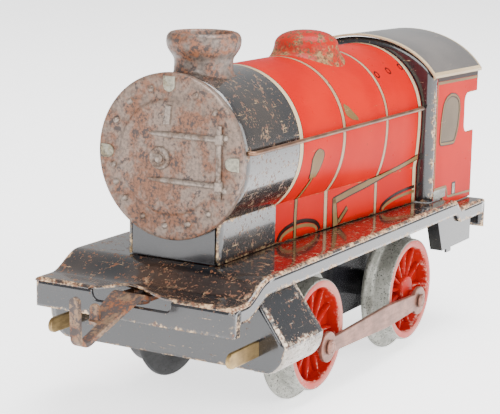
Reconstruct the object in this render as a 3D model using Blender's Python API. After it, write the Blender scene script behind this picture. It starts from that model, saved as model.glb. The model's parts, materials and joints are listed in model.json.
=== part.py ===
"""Tinplate clockwork locomotive for O gauge track, modelled piece by piece.

The datum is the front of the smokebox at x = 0. +X runs forward, +Y is the engine's left side and
z = 0 is the bottom of the wheel flanges. The engine empty carries every piece and moves the model so
that its origin lies under the middle of its length. All sizes are in metres.
"""
import math

import bmesh
import bpy
from mathutils import Matrix, Vector

# Sheet metal and fits
TIN = 0.0005
SEAT_GAP = 0.0002
RUNNING_GAP = 0.0003
BEARING_GAP = 0.0001

# Facets of round shapes
WHEEL_SEGMENTS = 36
BARREL_SEGMENTS = 28
DISC_SEGMENTS = 48
MOUNTING_SEGMENTS = 28
EYE_SEGMENTS = 20
BAR_SEGMENTS = 16
WIRE_SEGMENTS = 12
CURVE_STEPS = 8
BEND_STEPS = 4
ROOF_STEPS = 20

# Wheels and axles
FLANGE_RADIUS = 0.0141
FLANGE_WIDTH = 0.0016
TREAD_RADIUS = 0.01155
TREAD_WIDTH = 0.0043
WHEEL_OUTER_Y = 0.0200
RIM_WALL = 0.0019
RIM_RECESS = 0.0030
WEB_THICKNESS = 0.0014
SPOKE_COUNT = 12
SPOKE_WIDTH = 0.0009
SPOKE_HEIGHT = 0.0015
HUB_RADIUS = 0.0030
HUB_RECESS = 0.0008
AXLE_RADIUS = 0.0015
WHEELBASE = 0.0454

# Cranks and coupling rods
CRANK_THROW = 0.0039
CRANK_ANGLE_LEFT = math.radians(230)
CRANK_ANGLE_RIGHT = math.radians(140)
CRANK_BOSS_RADIUS = 0.0022
CRANK_PIN_RADIUS = 0.0009
CRANK_PIN_GRIP = 0.0030
CRANK_HEAD_RADIUS = 0.0016
CRANK_HEAD_HEIGHT = 0.0006
ROD_STANDOFF = 0.0004
ROD_THICKNESS = 0.0009
ROD_EYE_RADIUS = 0.0032
ROD_FRONT_HEIGHT = 0.0032
ROD_REAR_HEIGHT = 0.0048

# Footplate: a cove steps down to the front beam and a smaller step to the rear one
FLANGE_CLEARANCE = 0.00345
VALANCE_OVERHANG = 0.0023
VALANCE_DEPTH = 0.0034
BEAM_REACH = 0.0127
BEAM_DEPTH = 0.0057
DECK_LENGTH = 0.0047
COVE_LENGTH = 0.0090
COVE_DROP = 0.0034
REAR_OVERHANG = 0.0377
REAR_DECK_LENGTH = 0.0145
REAR_BEAM_DEPTH = 0.0070
STEP_LENGTH = 0.0035
STEP_DROP = 0.0022
HOOK_NOTCH_HALF_WIDTH = 0.0089
HOOK_NOTCH_DEPTH = 0.0026
HOOK_ARCH_RISE = 0.0017
HOOK_ARCH_CUTS = 10
REAR_SLOT_HALF_WIDTH = 0.0075
REAR_SLOT_DEPTH = 0.0026

# Cylinder block, hung below the footplate
CYLINDER_SETBACK = 0.0115
CYLINDER_LENGTH = 0.0145
CYLINDER_TO_AXLE = 0.0126
CYLINDER_BULGE = 0.00505
CYLINDER_ROUND = 0.00475
CYLINDER_DEPTH = 0.0185
CYLINDER_WIDEST_DEPTH = 0.0126
CYLINDER_NECK_INSET = 0.0014
CYLINDER_NECK_DEPTH = 0.0037

# Piston rods
PISTON_ROD_HEIGHT = 0.0030
PISTON_ROD_THICKNESS = 0.0009
PISTON_ROD_DEPTH = 0.0138
PISTON_ROD_REACH_LEFT = 0.0110
PISTON_ROD_REACH_RIGHT = 0.0088
PISTON_ROD_LENGTH = 0.0220

# Boiler shell, smokebox front and saddle
BARREL_RADIUS = 0.0157
BARREL_RISE = 0.0205
SMOKEBOX_LENGTH = 0.0247
SKIRT_FRONT_INSET = 0.0056
SKIRT_REAR_INSET = 0.0008
DISC_RIM = 0.0005
DISC_DEPTH = 0.0017
DOOR_RADIUS = 0.0105
DOOR_HEIGHT = 0.0005
TAB_HALF_WIDTH = 0.0013
TAB_DEPTH = 0.0025
STRAP_LENGTH = 0.0135
STRAP_HEIGHT = 0.0016
STRAP_OFFSET = 0.0046
HINGE_OFFSET = 0.0007
HINGE_HALF_LENGTH = 0.0072
HINGE_RADIUS = 0.0007
KNOB_Y = -0.0023
KNOB_RADIUS = 0.0020
SADDLE_DROP = 0.0101

# Chimney, dome and handrails
CHIMNEY_SETBACK = 0.0124
CHIMNEY_BASE_RADIUS = 0.0063
CHIMNEY_WAIST_RADIUS = 0.0057
CHIMNEY_RIM_RADIUS = 0.0074
CHIMNEY_WALL = 0.0008
CHIMNEY_HEIGHT = 0.0075
CHIMNEY_RIM_HEIGHT = 0.0036
DOME_TO_CAB = 0.0284
DOME_RADIUS = 0.0086
DOME_SHOULDER = 0.0017
DOME_HEIGHT = 0.0049
DOME_WALL = 0.0006
HANDRAIL_RADIUS = 0.00045
HANDRAIL_STANDOFF = 0.0013
HANDRAIL_RISE = 0.0019
HANDRAIL_FRONT_INSET = 0.0010

# Cab, which stands astride the step of the footplate
CAB_TO_STEP = 0.0071
CAB_HALF_WIDTH = 0.0183
CAB_WAIST_LENGTH = 0.0253
CAB_EAVE_LENGTH = 0.0269
CAB_OPENING_DEPTH = 0.0059
CAB_OPENING_HEIGHT = 0.0095
CAB_HEAD_DROP = 0.0058
CAB_CORNER_RADIUS = 0.0020
CAB_BEND_RADIUS = 0.0020
ROOF_RISE = 0.0021
ROOF_CAMBER = 0.0150
ROOF_EAVE = 0.0007
ROOF_TURN = 0.0021
ROOF_LIP = 0.0006
ROOF_FALL = 0.0005
ROOF_FRONT_LEAD = 0.0009
ROOF_REAR_LAP = 0.0005
CAB_STEP_SETBACK = 0.0095
CAB_STEP_REAR_INSET = 0.0072
CAB_STEP_DEPTH = 0.0110
CAB_STEP_RAKE = 0.0043
CAB_STEP_FLANGE = 0.0030
CAB_STEP_FOOT_LENGTH = 0.0026
CAB_STEP_FOOT_DROP = 0.0009

# Clockwork
MOTOR_PLATE = 0.0008
MOTOR_SIDE_GAP = 0.0009
MOTOR_OVERHANG = 0.0060
MOTOR_FOOT = 0.0045
MOTOR_LUG_REACH = 0.0035
MOTOR_LUG_LENGTH = 0.0060
PILLAR_RADIUS = 0.0014
PILLAR_INSET = 0.0021
GEAR_MODULE = 0.0006
GEAR_ADDENDUM = 0.8
GEAR_DEDENDUM = 1.1
TOOTH_ROOT_SHARE = 0.30
TOOTH_TIP_SHARE = 0.11
GREAT_TEETH = 48
SECOND_PINION_TEETH = 10
SECOND_WHEEL_TEETH = 32
AXLE_GEAR_TEETH = 14
GREAT_Y = 0.0044
GREAT_WIDTH = 0.0012
SECOND_WHEEL_WIDTH = 0.0010
PINION_EXTRA = 0.0002
TRAIN_GAP = 0.0008
AXLE_TO_SECOND_ANGLE = math.radians(55)
SECOND_TO_GREAT_ANGLE = math.radians(60)
SECOND_ARBOR_RADIUS = 0.0010
WINDING_ARBOR_RADIUS = 0.0018
WINDING_JOURNAL_RADIUS = 0.0015
WINDING_SQUARE = 0.0020
WINDING_HOLE_RADIUS = 0.0030
RATCHET_ARMS = 3
RATCHET_RADIUS = 0.0060
RATCHET_HUB_WALL = 0.0015
RATCHET_ARM_WIDTH = 0.0010
RATCHET_THICKNESS = 0.0004
SPRING_INNER_RADIUS = 0.0028
SPRING_OUTER_RADIUS = 0.0132
SPRING_TURNS = 7
SPRING_THICKNESS = 0.0005
SPRING_WIDTH = 0.0098
SPRING_STEPS_PER_TURN = 16

# Brake rod
BRAKE_ROD_RADIUS = 0.0008
BRAKE_ROD_RISE = 0.0029
BRAKE_ROD_IN_CAB = 0.0201
BRAKE_KNOB_RADIUS = 0.0018
BRAKE_GUIDE_HALF_WIDTH = 0.0025
BRAKE_GUIDE_HEIGHT = 0.0050

# Couplings
HOOK_PIVOT_SETBACK = 0.0029
HOOK_SWING = math.radians(-2)
HOOK_THICKNESS = 0.0009
HOOK_HALF_WIDTH = 0.0034
HOOK_REACH = 0.0194
HOOK_DROP = 0.0056
HOOK_PRONG_HALF_WIDTH = 0.0010
HOOK_PRONG_HEIGHT = 0.0094
HOOK_FORK = 0.0122
HOOK_TAB_INSET = 0.0006
HOOK_TAB_WIDTH = 0.0024
HOOK_TAB_HEIGHT = 0.0035
RIVET_RADIUS = 0.0010
RIVET_HEAD_RADIUS = 0.0020
RIVET_HEAD_HEIGHT = 0.0007
REAR_PIVOT_SETBACK = 0.0080
REAR_COUPLING_REACH = 0.0190
REAR_COUPLING_HALF_WIDTH = 0.0030
REAR_COUPLING_SET_DOWN = 0.0010
REAR_COUPLING_HOLE_RADIUS = 0.0016

# Places along the engine, from the front beam backwards
BEAM_X = BEAM_REACH
COVE_FRONT_X = BEAM_X - DECK_LENGTH
COVE_BACK_X = COVE_FRONT_X - COVE_LENGTH
CYLINDER_FRONT_X = BEAM_X - CYLINDER_SETBACK
CYLINDER_REAR_X = CYLINDER_FRONT_X - CYLINDER_LENGTH
FRONT_AXLE_X = CYLINDER_REAR_X - CYLINDER_TO_AXLE
REAR_AXLE_X = FRONT_AXLE_X - WHEELBASE
REAR_X = REAR_AXLE_X - REAR_OVERHANG
STEP_BACK_X = REAR_X + REAR_DECK_LENGTH
STEP_FRONT_X = STEP_BACK_X + STEP_LENGTH
CAB_FRONT_X = STEP_FRONT_X + CAB_TO_STEP
CAB_SIDE_FRONT_X = CAB_FRONT_X - CAB_BEND_RADIUS - SEAT_GAP
CAB_WAIST_X = CAB_FRONT_X - CAB_WAIST_LENGTH
CAB_EAVE_X = CAB_FRONT_X - CAB_EAVE_LENGTH
CAB_OPENING_X = CAB_WAIST_X + CAB_OPENING_DEPTH
ROOF_FRONT_X = CAB_FRONT_X + ROOF_FRONT_LEAD
ROOF_REAR_X = CAB_EAVE_X - ROOF_REAR_LAP
CAB_STEP_FRONT_X = REAR_AXLE_X - CAB_STEP_SETBACK
CAB_STEP_REAR_X = REAR_X + CAB_STEP_REAR_INSET
CHIMNEY_X = -CHIMNEY_SETBACK
DOME_X = CAB_FRONT_X + DOME_TO_CAB
HOOK_PIVOT_X = BEAM_X - HOOK_PIVOT_SETBACK
REAR_PIVOT_X = REAR_X + REAR_PIVOT_SETBACK
SHELL_FRONT_X = -DISC_DEPTH - SEAT_GAP
SMOKEBOX_REAR_X = -SMOKEBOX_LENGTH
SHELL_REAR_X = CAB_FRONT_X + SEAT_GAP

# Places across the engine
WHEEL_INNER_Y = WHEEL_OUTER_Y - TREAD_WIDTH - FLANGE_WIDTH
FOOTPLATE_HALF_WIDTH = WHEEL_OUTER_Y + VALANCE_OVERHANG
ROD_INNER_Y = WHEEL_OUTER_Y + ROD_STANDOFF
ROD_OUTER_Y = ROD_INNER_Y + ROD_THICKNESS
CYLINDER_HALF_WIDTH = FOOTPLATE_HALF_WIDTH + CYLINDER_BULGE
CYLINDER_FLAT_HALF_WIDTH = CYLINDER_HALF_WIDTH - CYLINDER_ROUND
CYLINDER_NECK_HALF_WIDTH = FOOTPLATE_HALF_WIDTH - CYLINDER_NECK_INSET
DISC_RADIUS = BARREL_RADIUS + DISC_RIM
HINGE_Y = DOOR_RADIUS + HINGE_OFFSET
ROOF_HALF_WIDTH = CAB_HALF_WIDTH + ROOF_EAVE
ROOF_HALF_SPAN = ROOF_HALF_WIDTH + ROOF_TURN
ROOF_SEAT = TIN + SEAT_GAP
SECOND_WHEEL_Y = GREAT_Y + GREAT_WIDTH + PINION_EXTRA + TRAIN_GAP
MOTOR_INNER_Y = SECOND_WHEEL_Y + SECOND_WHEEL_WIDTH + PINION_EXTRA + MOTOR_SIDE_GAP
MOTOR_HALF_WIDTH = MOTOR_INNER_Y + MOTOR_PLATE
BRAKE_ROD_Y = SECOND_WHEEL_Y + SECOND_WHEEL_WIDTH / 2

# Heights
AXLE_Z = FLANGE_RADIUS * math.cos(math.pi / WHEEL_SEGMENTS)
FOOTPLATE_Z = AXLE_Z + FLANGE_RADIUS + FLANGE_CLEARANCE
FOOTPLATE_UNDERSIDE_Z = FOOTPLATE_Z - TIN
DECK_Z = FOOTPLATE_Z - COVE_DROP
REAR_DECK_Z = FOOTPLATE_Z - STEP_DROP
CYLINDER_BOTTOM_Z = FOOTPLATE_Z - CYLINDER_DEPTH
CYLINDER_WIDEST_Z = FOOTPLATE_Z - CYLINDER_WIDEST_DEPTH
CYLINDER_NECK_Z = FOOTPLATE_Z - CYLINDER_NECK_DEPTH
PISTON_ROD_Z = FOOTPLATE_Z - PISTON_ROD_DEPTH
SHELL_BOTTOM_Z = FOOTPLATE_Z + SEAT_GAP
BARREL_Z = FOOTPLATE_Z + BARREL_RISE
BARREL_TOP_Z = BARREL_Z + BARREL_RADIUS
SADDLE_TOP_Z = BARREL_Z - SADDLE_DROP
CHIMNEY_TOP_Z = BARREL_TOP_Z + CHIMNEY_HEIGHT
DOME_TOP_Z = BARREL_TOP_Z + DOME_HEIGHT
HANDRAIL_Z = BARREL_Z + HANDRAIL_RISE
ROOF_CROWN_Z = BARREL_TOP_Z + ROOF_RISE
ROOF_CENTRE_Z = ROOF_CROWN_Z - ROOF_CAMBER
CAB_STEP_BOTTOM_Z = FOOTPLATE_Z - CAB_STEP_DEPTH
BRAKE_ROD_Z = FOOTPLATE_Z + BRAKE_ROD_RISE

# Gear centres and the clockwork's outline
GREAT_PITCH_RADIUS = GEAR_MODULE * GREAT_TEETH / 2
SECOND_PINION_PITCH_RADIUS = GEAR_MODULE * SECOND_PINION_TEETH / 2
SECOND_WHEEL_PITCH_RADIUS = GEAR_MODULE * SECOND_WHEEL_TEETH / 2
AXLE_GEAR_PITCH_RADIUS = GEAR_MODULE * AXLE_GEAR_TEETH / 2
AXLE_TO_SECOND = AXLE_GEAR_PITCH_RADIUS + SECOND_WHEEL_PITCH_RADIUS
SECOND_TO_GREAT = SECOND_PINION_PITCH_RADIUS + GREAT_PITCH_RADIUS
SECOND_WHEEL_REACH = SECOND_WHEEL_PITCH_RADIUS + GEAR_MODULE + RUNNING_GAP
SECOND_X = REAR_AXLE_X + AXLE_TO_SECOND * math.cos(AXLE_TO_SECOND_ANGLE)
SECOND_Z = AXLE_Z + AXLE_TO_SECOND * math.sin(AXLE_TO_SECOND_ANGLE)
ARBOR_X = SECOND_X + SECOND_TO_GREAT * math.cos(SECOND_TO_GREAT_ANGLE)
ARBOR_Z = SECOND_Z + SECOND_TO_GREAT * math.sin(SECOND_TO_GREAT_ANGLE)
MOTOR_TOP_HALF_LENGTH = GREAT_PITCH_RADIUS + 2 * PILLAR_RADIUS
MOTOR_TOP_FRONT_X = ARBOR_X + MOTOR_TOP_HALF_LENGTH
MOTOR_TOP_REAR_X = ARBOR_X - MOTOR_TOP_HALF_LENGTH
MOTOR_TOP_Z = ARBOR_Z + MOTOR_TOP_HALF_LENGTH
MOTOR_BOTTOM_Z = AXLE_Z - MOTOR_FOOT
MOTOR_SHOULDER_Z = FOOTPLATE_UNDERSIDE_Z - SEAT_GAP
BRAKE_GUIDE_X = (CAB_FRONT_X + MOTOR_TOP_REAR_X) / 2

# Blender's own scene is emptied first
for leftover in list(bpy.data.objects):
    bpy.data.objects.remove(leftover, do_unlink=True)


def link(item):
    """Put an object into the scene's collection and return it."""
    bpy.context.scene.collection.objects.link(item)
    return item


def finish(name, colour, roughness, metallic):
    """Make a plain Principled material."""
    material = bpy.data.materials.new(name)
    material.use_nodes = True
    shader = material.node_tree.nodes["Principled BSDF"]
    shader.inputs["Base Color"].default_value = (*colour, 1.0)
    shader.inputs["Roughness"].default_value = roughness
    shader.inputs["Metallic"].default_value = metallic
    return material


RED_ENAMEL = finish("red_enamel", (0.70, 0.07, 0.04), 0.25, 0.0)
BLACK_ENAMEL = finish("black_enamel", (0.03, 0.03, 0.035), 0.25, 0.0)
RUSTED_TIN = finish("rusted_tin", (0.27, 0.17, 0.12), 0.60, 0.4)
CAST_WHEEL = finish("cast_wheel", (0.62, 0.05, 0.04), 0.45, 0.0)
BRIGHT_STEEL = finish("bright_steel", (0.62, 0.60, 0.58), 0.35, 0.9)
ROD_STEEL = finish("rod_steel", (0.52, 0.45, 0.42), 0.40, 0.8)
SPRING_STEEL = finish("spring_steel", (0.25, 0.27, 0.32), 0.30, 0.9)
BRASS = finish("brass", (0.62, 0.50, 0.26), 0.40, 0.9)

ENGINE = link(bpy.data.objects.new("engine", None))


def pivot(name, x, z, y=0.0):
    """Make an empty on a joint's axis for the pieces that turn there."""
    empty = link(bpy.data.objects.new(name, None))
    empty.parent = ENGINE
    empty.location = (x, y, z)
    return empty


def piece(name, mesh, material, parent=ENGINE, location=(0, 0, 0), rotation=None):
    """Name a mesh as one piece of the engine, dress it and hang it on its parent."""
    item = link(bpy.data.objects.new(name, mesh))
    mesh.materials.clear()
    mesh.materials.append(material)
    mesh.shade_smooth()
    mesh.set_sharp_from_angle(angle=math.radians(30))
    item.parent = parent
    item.location = location
    if rotation is not None:
        item.rotation_euler = rotation.to_euler()
    return item


def mesh_from(vertices, faces):
    """Make a mesh whose faces all point outwards."""
    mesh = bpy.data.meshes.new("solid")
    mesh.from_pydata(vertices, [], faces)
    work = bmesh.new()
    work.from_mesh(mesh)
    bmesh.ops.recalc_face_normals(work, faces=work.faces)
    work.to_mesh(mesh)
    work.free()
    return mesh


def along(axis, height, u, v):
    """Place a point of an outline at a height along x, y or z."""
    return {"x": (height, u, v), "y": (u, height, v), "z": (u, v, height)}[axis]


def prism(outline, low, high, axis):
    """Extrude a closed outline from low to high along an axis."""
    count = len(outline)
    vertices = [along(axis, low, u, v) for u, v in outline]
    vertices += [along(axis, high, u, v) for u, v in outline]
    faces = [list(range(count)), list(range(count, 2 * count))]
    for i in range(count):
        j = (i + 1) % count
        faces.append([i, j, count + j, count + i])
    return mesh_from(vertices, faces)


def box(x_low, x_high, y_low, y_high, z_low, z_high):
    """Make a block between two corners."""
    outline = [(y_low, z_low), (y_high, z_low), (y_high, z_high), (y_low, z_high)]
    return prism(outline, x_low, x_high, "x")


def circle(radius, count, centre=(0.0, 0.0), phase=0.0):
    """Points of a circle."""
    steps = [phase + 2 * math.pi * i / count for i in range(count)]
    return [(centre[0] + radius * math.cos(a), centre[1] + radius * math.sin(a)) for a in steps]


def bar(radius, low, high, axis, centre=(0.0, 0.0), count=BAR_SEGMENTS):
    """Make a round bar along an axis."""
    return prism(circle(radius, count, centre), low, high, axis)


def turned(profile, axis, count, phase=0.0, closed=False):
    """Turn a profile of (radius, height) points; one that starts and ends on the axis is solid."""
    vertices = []
    rings = []
    for radius, height in profile:
        start = len(vertices)
        points = circle(radius, count, phase=phase) if radius > 0 else [(0.0, 0.0)]
        vertices += [along(axis, height, u, v) for u, v in points]
        rings.append(range(start, len(vertices)))
    pairs = list(zip(rings[:-1], rings[1:]))
    if closed:
        pairs.append((rings[-1], rings[0]))
    faces = []
    for first, second in pairs:
        for i in range(count):
            j = (i + 1) % count
            corners = [first[i % len(first)], first[j % len(first)]]
            corners += [second[j % len(second)], second[i % len(second)]]
            faces.append(list(dict.fromkeys(corners)))
    return mesh_from(vertices, faces)


def combine(base, tools, operation):
    """Join tool meshes to a base mesh, or cut them from it, and return the new mesh."""
    body = link(bpy.data.objects.new("work", base))
    helpers = [link(bpy.data.objects.new("tool", tool)) for tool in tools]
    for helper in helpers:
        modifier = body.modifiers.new("combine", "BOOLEAN")
        modifier.operation = operation
        modifier.object = helper
    result = bpy.data.meshes.new_from_object(body.evaluated_get(bpy.context.evaluated_depsgraph_get()))
    for helper in [body, *helpers]:
        bpy.data.objects.remove(helper, do_unlink=True)
    return result


def join(base, *tools):
    """Join meshes that overlap into one body."""
    return combine(base, tools, "UNION")


def cut(base, *tools):
    """Cut meshes out of a base mesh."""
    return combine(base, tools, "DIFFERENCE")


def ease(start, end, steps):
    """Points of a smooth S from one (x, z) point to another."""
    points = []
    for i in range(steps + 1):
        t = i / steps
        rise = (1 - math.cos(math.pi * t)) / 2
        points.append((start[0] + (end[0] - start[0]) * t, start[1] + (end[1] - start[1]) * rise))
    return points


def arc(centre, radius_u, radius_v, start, end, steps):
    """Points of an ellipse's arc between two angles."""
    angles = [start + (end - start) * i / steps for i in range(steps + 1)]
    return [(centre[0] + radius_u * math.cos(a), centre[1] + radius_v * math.sin(a)) for a in angles]


def offset(points, distance):
    """Move an open line of points sideways, to the left of its direction."""
    moved = []
    for i, (u, v) in enumerate(points):
        before = Vector(points[max(i - 1, 0)])
        after = Vector(points[min(i + 1, len(points) - 1)])
        way = (after - before).normalized()
        moved.append((u - way.y * distance, v + way.x * distance))
    return moved


def sides():
    """The two sides of the engine with the sign of y on each."""
    return (("left", 1), ("right", -1))


def facing(sign, angle):
    """Turn a left-hand running piece so that its crank points at an angle on either side."""
    if sign > 0:
        return Matrix.Rotation(-angle, 4, "Y")
    return Matrix.Rotation(math.pi - angle, 4, "Y") @ Matrix.Rotation(math.pi, 4, "Z")


def skirt_half_width(x):
    """Half-width of the skirts, level along the smokebox and then widening evenly to the cab."""
    share = max((SMOKEBOX_REAR_X - x) / (SMOKEBOX_REAR_X - SHELL_REAR_X), 0.0)
    return BARREL_RADIUS - SKIRT_FRONT_INSET + share * (SKIRT_FRONT_INSET - SKIRT_REAR_INSET)


def footplate_line():
    """Line of the footplate's top from the front beam to the rear one."""
    line = [(BEAM_X, DECK_Z)]
    line += ease((COVE_FRONT_X, DECK_Z), (COVE_BACK_X, FOOTPLATE_Z), CURVE_STEPS)
    line += ease((STEP_FRONT_X, FOOTPLATE_Z), (STEP_BACK_X, REAR_DECK_Z), BEND_STEPS)
    return line + [(REAR_X, REAR_DECK_Z)]


def build_footplate():
    """Pressed footplate: a channel with a cove in front, a step behind and a beam at each end."""
    top = footplate_line()
    lower = [(x, z - VALANCE_DEPTH) for x, z in top]
    lower[0] = (BEAM_X - TIN, lower[0][1])
    lower[-1] = (REAR_X + TIN, lower[-1][1])
    rear_bottom = REAR_DECK_Z - REAR_BEAM_DEPTH
    front_bottom = DECK_Z - BEAM_DEPTH
    outline = top + [(REAR_X, rear_bottom), (REAR_X + TIN, rear_bottom)] + lower[::-1]
    outline += [(BEAM_X - TIN, front_bottom), (BEAM_X, front_bottom)]
    body = prism(outline, -FOOTPLATE_HALF_WIDTH, FOOTPLATE_HALF_WIDTH, "y")
    roof = [(x, z - TIN) for x, z in top]
    roof[0] = (BEAM_X - TIN, roof[0][1])
    roof[-1] = (REAR_X + TIN, roof[-1][1])
    hollow = roof + [(REAR_X + TIN, -TIN), (BEAM_X - TIN, -TIN)]
    inside = FOOTPLATE_HALF_WIDTH - TIN
    opening_rear = min(MOTOR_TOP_REAR_X, SECOND_X - SECOND_WHEEL_REACH) - SEAT_GAP
    opening_front = MOTOR_TOP_FRONT_X + SEAT_GAP
    opening_side = MOTOR_HALF_WIDTH + SEAT_GAP
    hole = RIVET_RADIUS + BEARING_GAP
    body = cut(
        body,
        prism(hollow, -inside, inside, "y"),
        box(opening_rear, opening_front, -opening_side, opening_side, REAR_DECK_Z - TIN, FOOTPLATE_Z + TIN),
        box(BEAM_X - 2 * TIN, BEAM_X + TIN, -HOOK_NOTCH_HALF_WIDTH, HOOK_NOTCH_HALF_WIDTH,
            DECK_Z - HOOK_NOTCH_DEPTH, DECK_Z - TIN),
        box(REAR_X - TIN, REAR_X + 2 * TIN, -REAR_SLOT_HALF_WIDTH, REAR_SLOT_HALF_WIDTH,
            REAR_DECK_Z - REAR_SLOT_DEPTH, REAR_DECK_Z - TIN),
        bar(hole, DECK_Z - 2 * TIN, DECK_Z + TIN, "z", (HOOK_PIVOT_X, 0.0)),
        bar(hole, REAR_DECK_Z - 2 * TIN, REAR_DECK_Z + TIN, "z", (REAR_PIVOT_X, 0.0)),
    )
    bow_deck_edge(body)
    piece("footplate", body, BLACK_ENAMEL)


def bow_deck_edge(mesh):
    """Bow the front edge of the deck upwards over the notch for the coupling."""
    work = bmesh.new()
    work.from_mesh(mesh)
    half = HOOK_NOTCH_HALF_WIDTH
    behind = COVE_FRONT_X - SEAT_GAP
    underside = DECK_Z - TIN - SEAT_GAP
    for i in range(1, HOOK_ARCH_CUTS):
        place = (0.0, half * (2 * i / HOOK_ARCH_CUTS - 1), 0.0)
        deck = [face for face in work.faces if min(corner.co.x for corner in face.verts) > behind]
        parts = set(deck)
        for face in deck:
            parts.update(face.edges)
            parts.update(face.verts)
        bmesh.ops.bisect_plane(work, geom=list(parts), plane_co=place, plane_no=(0.0, 1.0, 0.0))
    for corner in work.verts:
        x, y, z = corner.co
        reach = (x - COVE_FRONT_X) / (BEAM_X - COVE_FRONT_X)
        if reach > 0 and abs(y) < half and z > underside:
            corner.co.z += HOOK_ARCH_RISE * reach * math.cos(math.pi * y / (2 * half)) ** 2
    work.to_mesh(mesh)
    work.free()


def cylinder_line():
    """One side of the cylinder block's section, from the flat bottom to the top of the neck."""
    height = CYLINDER_WIDEST_Z - CYLINDER_BOTTOM_Z
    centre = (CYLINDER_FLAT_HALF_WIDTH, CYLINDER_WIDEST_Z)
    line = arc(centre, CYLINDER_ROUND, height, -math.pi / 2, 0.0, CURVE_STEPS)
    line.append((CYLINDER_NECK_HALF_WIDTH, CYLINDER_NECK_Z))
    line.append((CYLINDER_NECK_HALF_WIDTH, MOTOR_SHOULDER_Z))
    return line


def build_cylinder_block():
    """One bent sheet: a front plate with a slot for each piston rod, and a skin round each cylinder."""
    line = cylinder_line()
    mirrored = [(-y, z) for y, z in line[::-1]]
    body = prism(line + mirrored, CYLINDER_REAR_X, CYLINDER_FRONT_X, "x")
    inner = offset(line, TIN)
    over = FOOTPLATE_Z + TIN
    inner[0] = (inner[0][0], CYLINDER_BOTTOM_Z + TIN)
    inner[-1] = (inner[-1][0], over)
    hollow = inner + [(-y, z) for y, z in inner[::-1]]
    middle = WHEEL_OUTER_Y + RUNNING_GAP
    behind = CYLINDER_REAR_X - TIN
    front = CYLINDER_FRONT_X - TIN
    past = CYLINDER_FRONT_X + TIN
    outside = CYLINDER_HALF_WIDTH + TIN
    slot_top = PISTON_ROD_Z + PISTON_ROD_HEIGHT / 2 + RUNNING_GAP
    slot_bottom = PISTON_ROD_Z - PISTON_ROD_HEIGHT / 2 - RUNNING_GAP
    slot_inner = ROD_INNER_Y - RUNNING_GAP
    slot_outer = ROD_INNER_Y + PISTON_ROD_THICKNESS + RUNNING_GAP
    slots = []
    for _, sign in sides():
        edges = sorted((sign * slot_inner, sign * slot_outer))
        slots.append(box(front - TIN, past, *edges, slot_bottom, slot_top))
    body = cut(
        body,
        prism(hollow, behind, front, "x"),
        box(behind, front, -middle, middle, CYLINDER_BOTTOM_Z - TIN, CYLINDER_BOTTOM_Z + 2 * TIN),
        box(COVE_BACK_X - TIN, past, -outside, outside, DECK_Z - TIN - SEAT_GAP, over),
        *slots,
    )
    piece("cylinder_block", body, BLACK_ENAMEL)


def build_piston_rods():
    """Flat strips with round front ends that slide through the cylinder front plate."""
    half = PISTON_ROD_HEIGHT / 2
    reaches = {"left": PISTON_ROD_REACH_LEFT, "right": PISTON_ROD_REACH_RIGHT}
    for side, sign in sides():
        nose = arc((-half, 0.0), half, half, math.pi / 2, -math.pi / 2, CURVE_STEPS)
        outline = nose + [(-PISTON_ROD_LENGTH, -half), (-PISTON_ROD_LENGTH, half)]
        edges = sorted((sign * ROD_INNER_Y, sign * (ROD_INNER_Y + PISTON_ROD_THICKNESS)))
        strip = prism(outline, *edges, "y")
        tip = CYLINDER_FRONT_X + reaches[side]
        piece(f"piston_rod_{side}", strip, BRASS, location=(tip, 0, PISTON_ROD_Z))


def boiler_section(x, inset):
    """Skirt, barrel and skirt at one place along the boiler, from right to left.

    The barrel is round above its axis; below it, it draws in to the skirts at one height all along.
    """
    half = skirt_half_width(x) - inset
    radius = BARREL_RADIUS - inset
    narrowest = BARREL_RADIUS - SKIRT_FRONT_INSET - inset
    draw = (radius - half) / (radius - narrowest)
    crease = math.pi - math.asin(narrowest / radius)
    barrel = []
    for i in range(BARREL_SEGMENTS + 1):
        angle = crease * (2 * i / BARREL_SEGMENTS - 1)
        y = radius * math.sin(angle)
        if abs(angle) > math.pi / 2:
            y = math.copysign(radius - draw * (radius - abs(y)), y)
        barrel.append((y, BARREL_Z + radius * math.cos(angle)))
    return [(-half, SHELL_BOTTOM_Z), *barrel, (half, SHELL_BOTTOM_Z)]


def build_boiler_shell():
    """Wrapper of smokebox, boiler and skirts, with three tabs in front and the winding hole."""
    length = SHELL_REAR_X - SMOKEBOX_REAR_X
    stations = [SHELL_FRONT_X]
    stations += [SMOKEBOX_REAR_X + length * i / BEND_STEPS for i in range(BEND_STEPS + 1)]
    vertices = []
    for inset in (0.0, TIN):
        for x in stations:
            vertices += [(x, y, z) for y, z in boiler_section(x, inset)]
    count = BARREL_SEGMENTS + 3
    inside = len(stations) * count
    faces = []
    for row in range(len(stations) - 1):
        for i in range(count - 1):
            quad = [row * count + i, row * count + i + 1, (row + 1) * count + i + 1, (row + 1) * count + i]
            faces.append(quad)
            faces.append([inside + corner for corner in quad])
        for i in (0, count - 1):
            low = row * count + i
            faces.append([low, low + count, inside + low + count, inside + low])
    for row in (0, len(stations) - 1):
        for i in range(count - 1):
            low = row * count + i
            faces.append([low, low + 1, inside + low + 1, inside + low])
    shell = mesh_from(vertices, faces)
    reach = BARREL_RADIUS - TIN / 4
    depth = BARREL_RADIUS - TAB_DEPTH
    tab_x = (SHELL_FRONT_X - TIN, -SEAT_GAP)
    half = TAB_HALF_WIDTH
    tabs = [
        box(*tab_x, -half, half, BARREL_Z + depth, BARREL_Z + reach),
        box(*tab_x, depth, reach, BARREL_Z - half, BARREL_Z + half),
        box(*tab_x, -reach, -depth, BARREL_Z - half, BARREL_Z + half),
    ]
    hole = bar(WINDING_HOLE_RADIUS, -BARREL_RADIUS - TIN, -MOTOR_HALF_WIDTH, "y", (ARBOR_X, ARBOR_Z),
               EYE_SEGMENTS)
    piece("boiler_shell", cut(join(shell, *tabs), hole), RED_ENAMEL)


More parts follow.
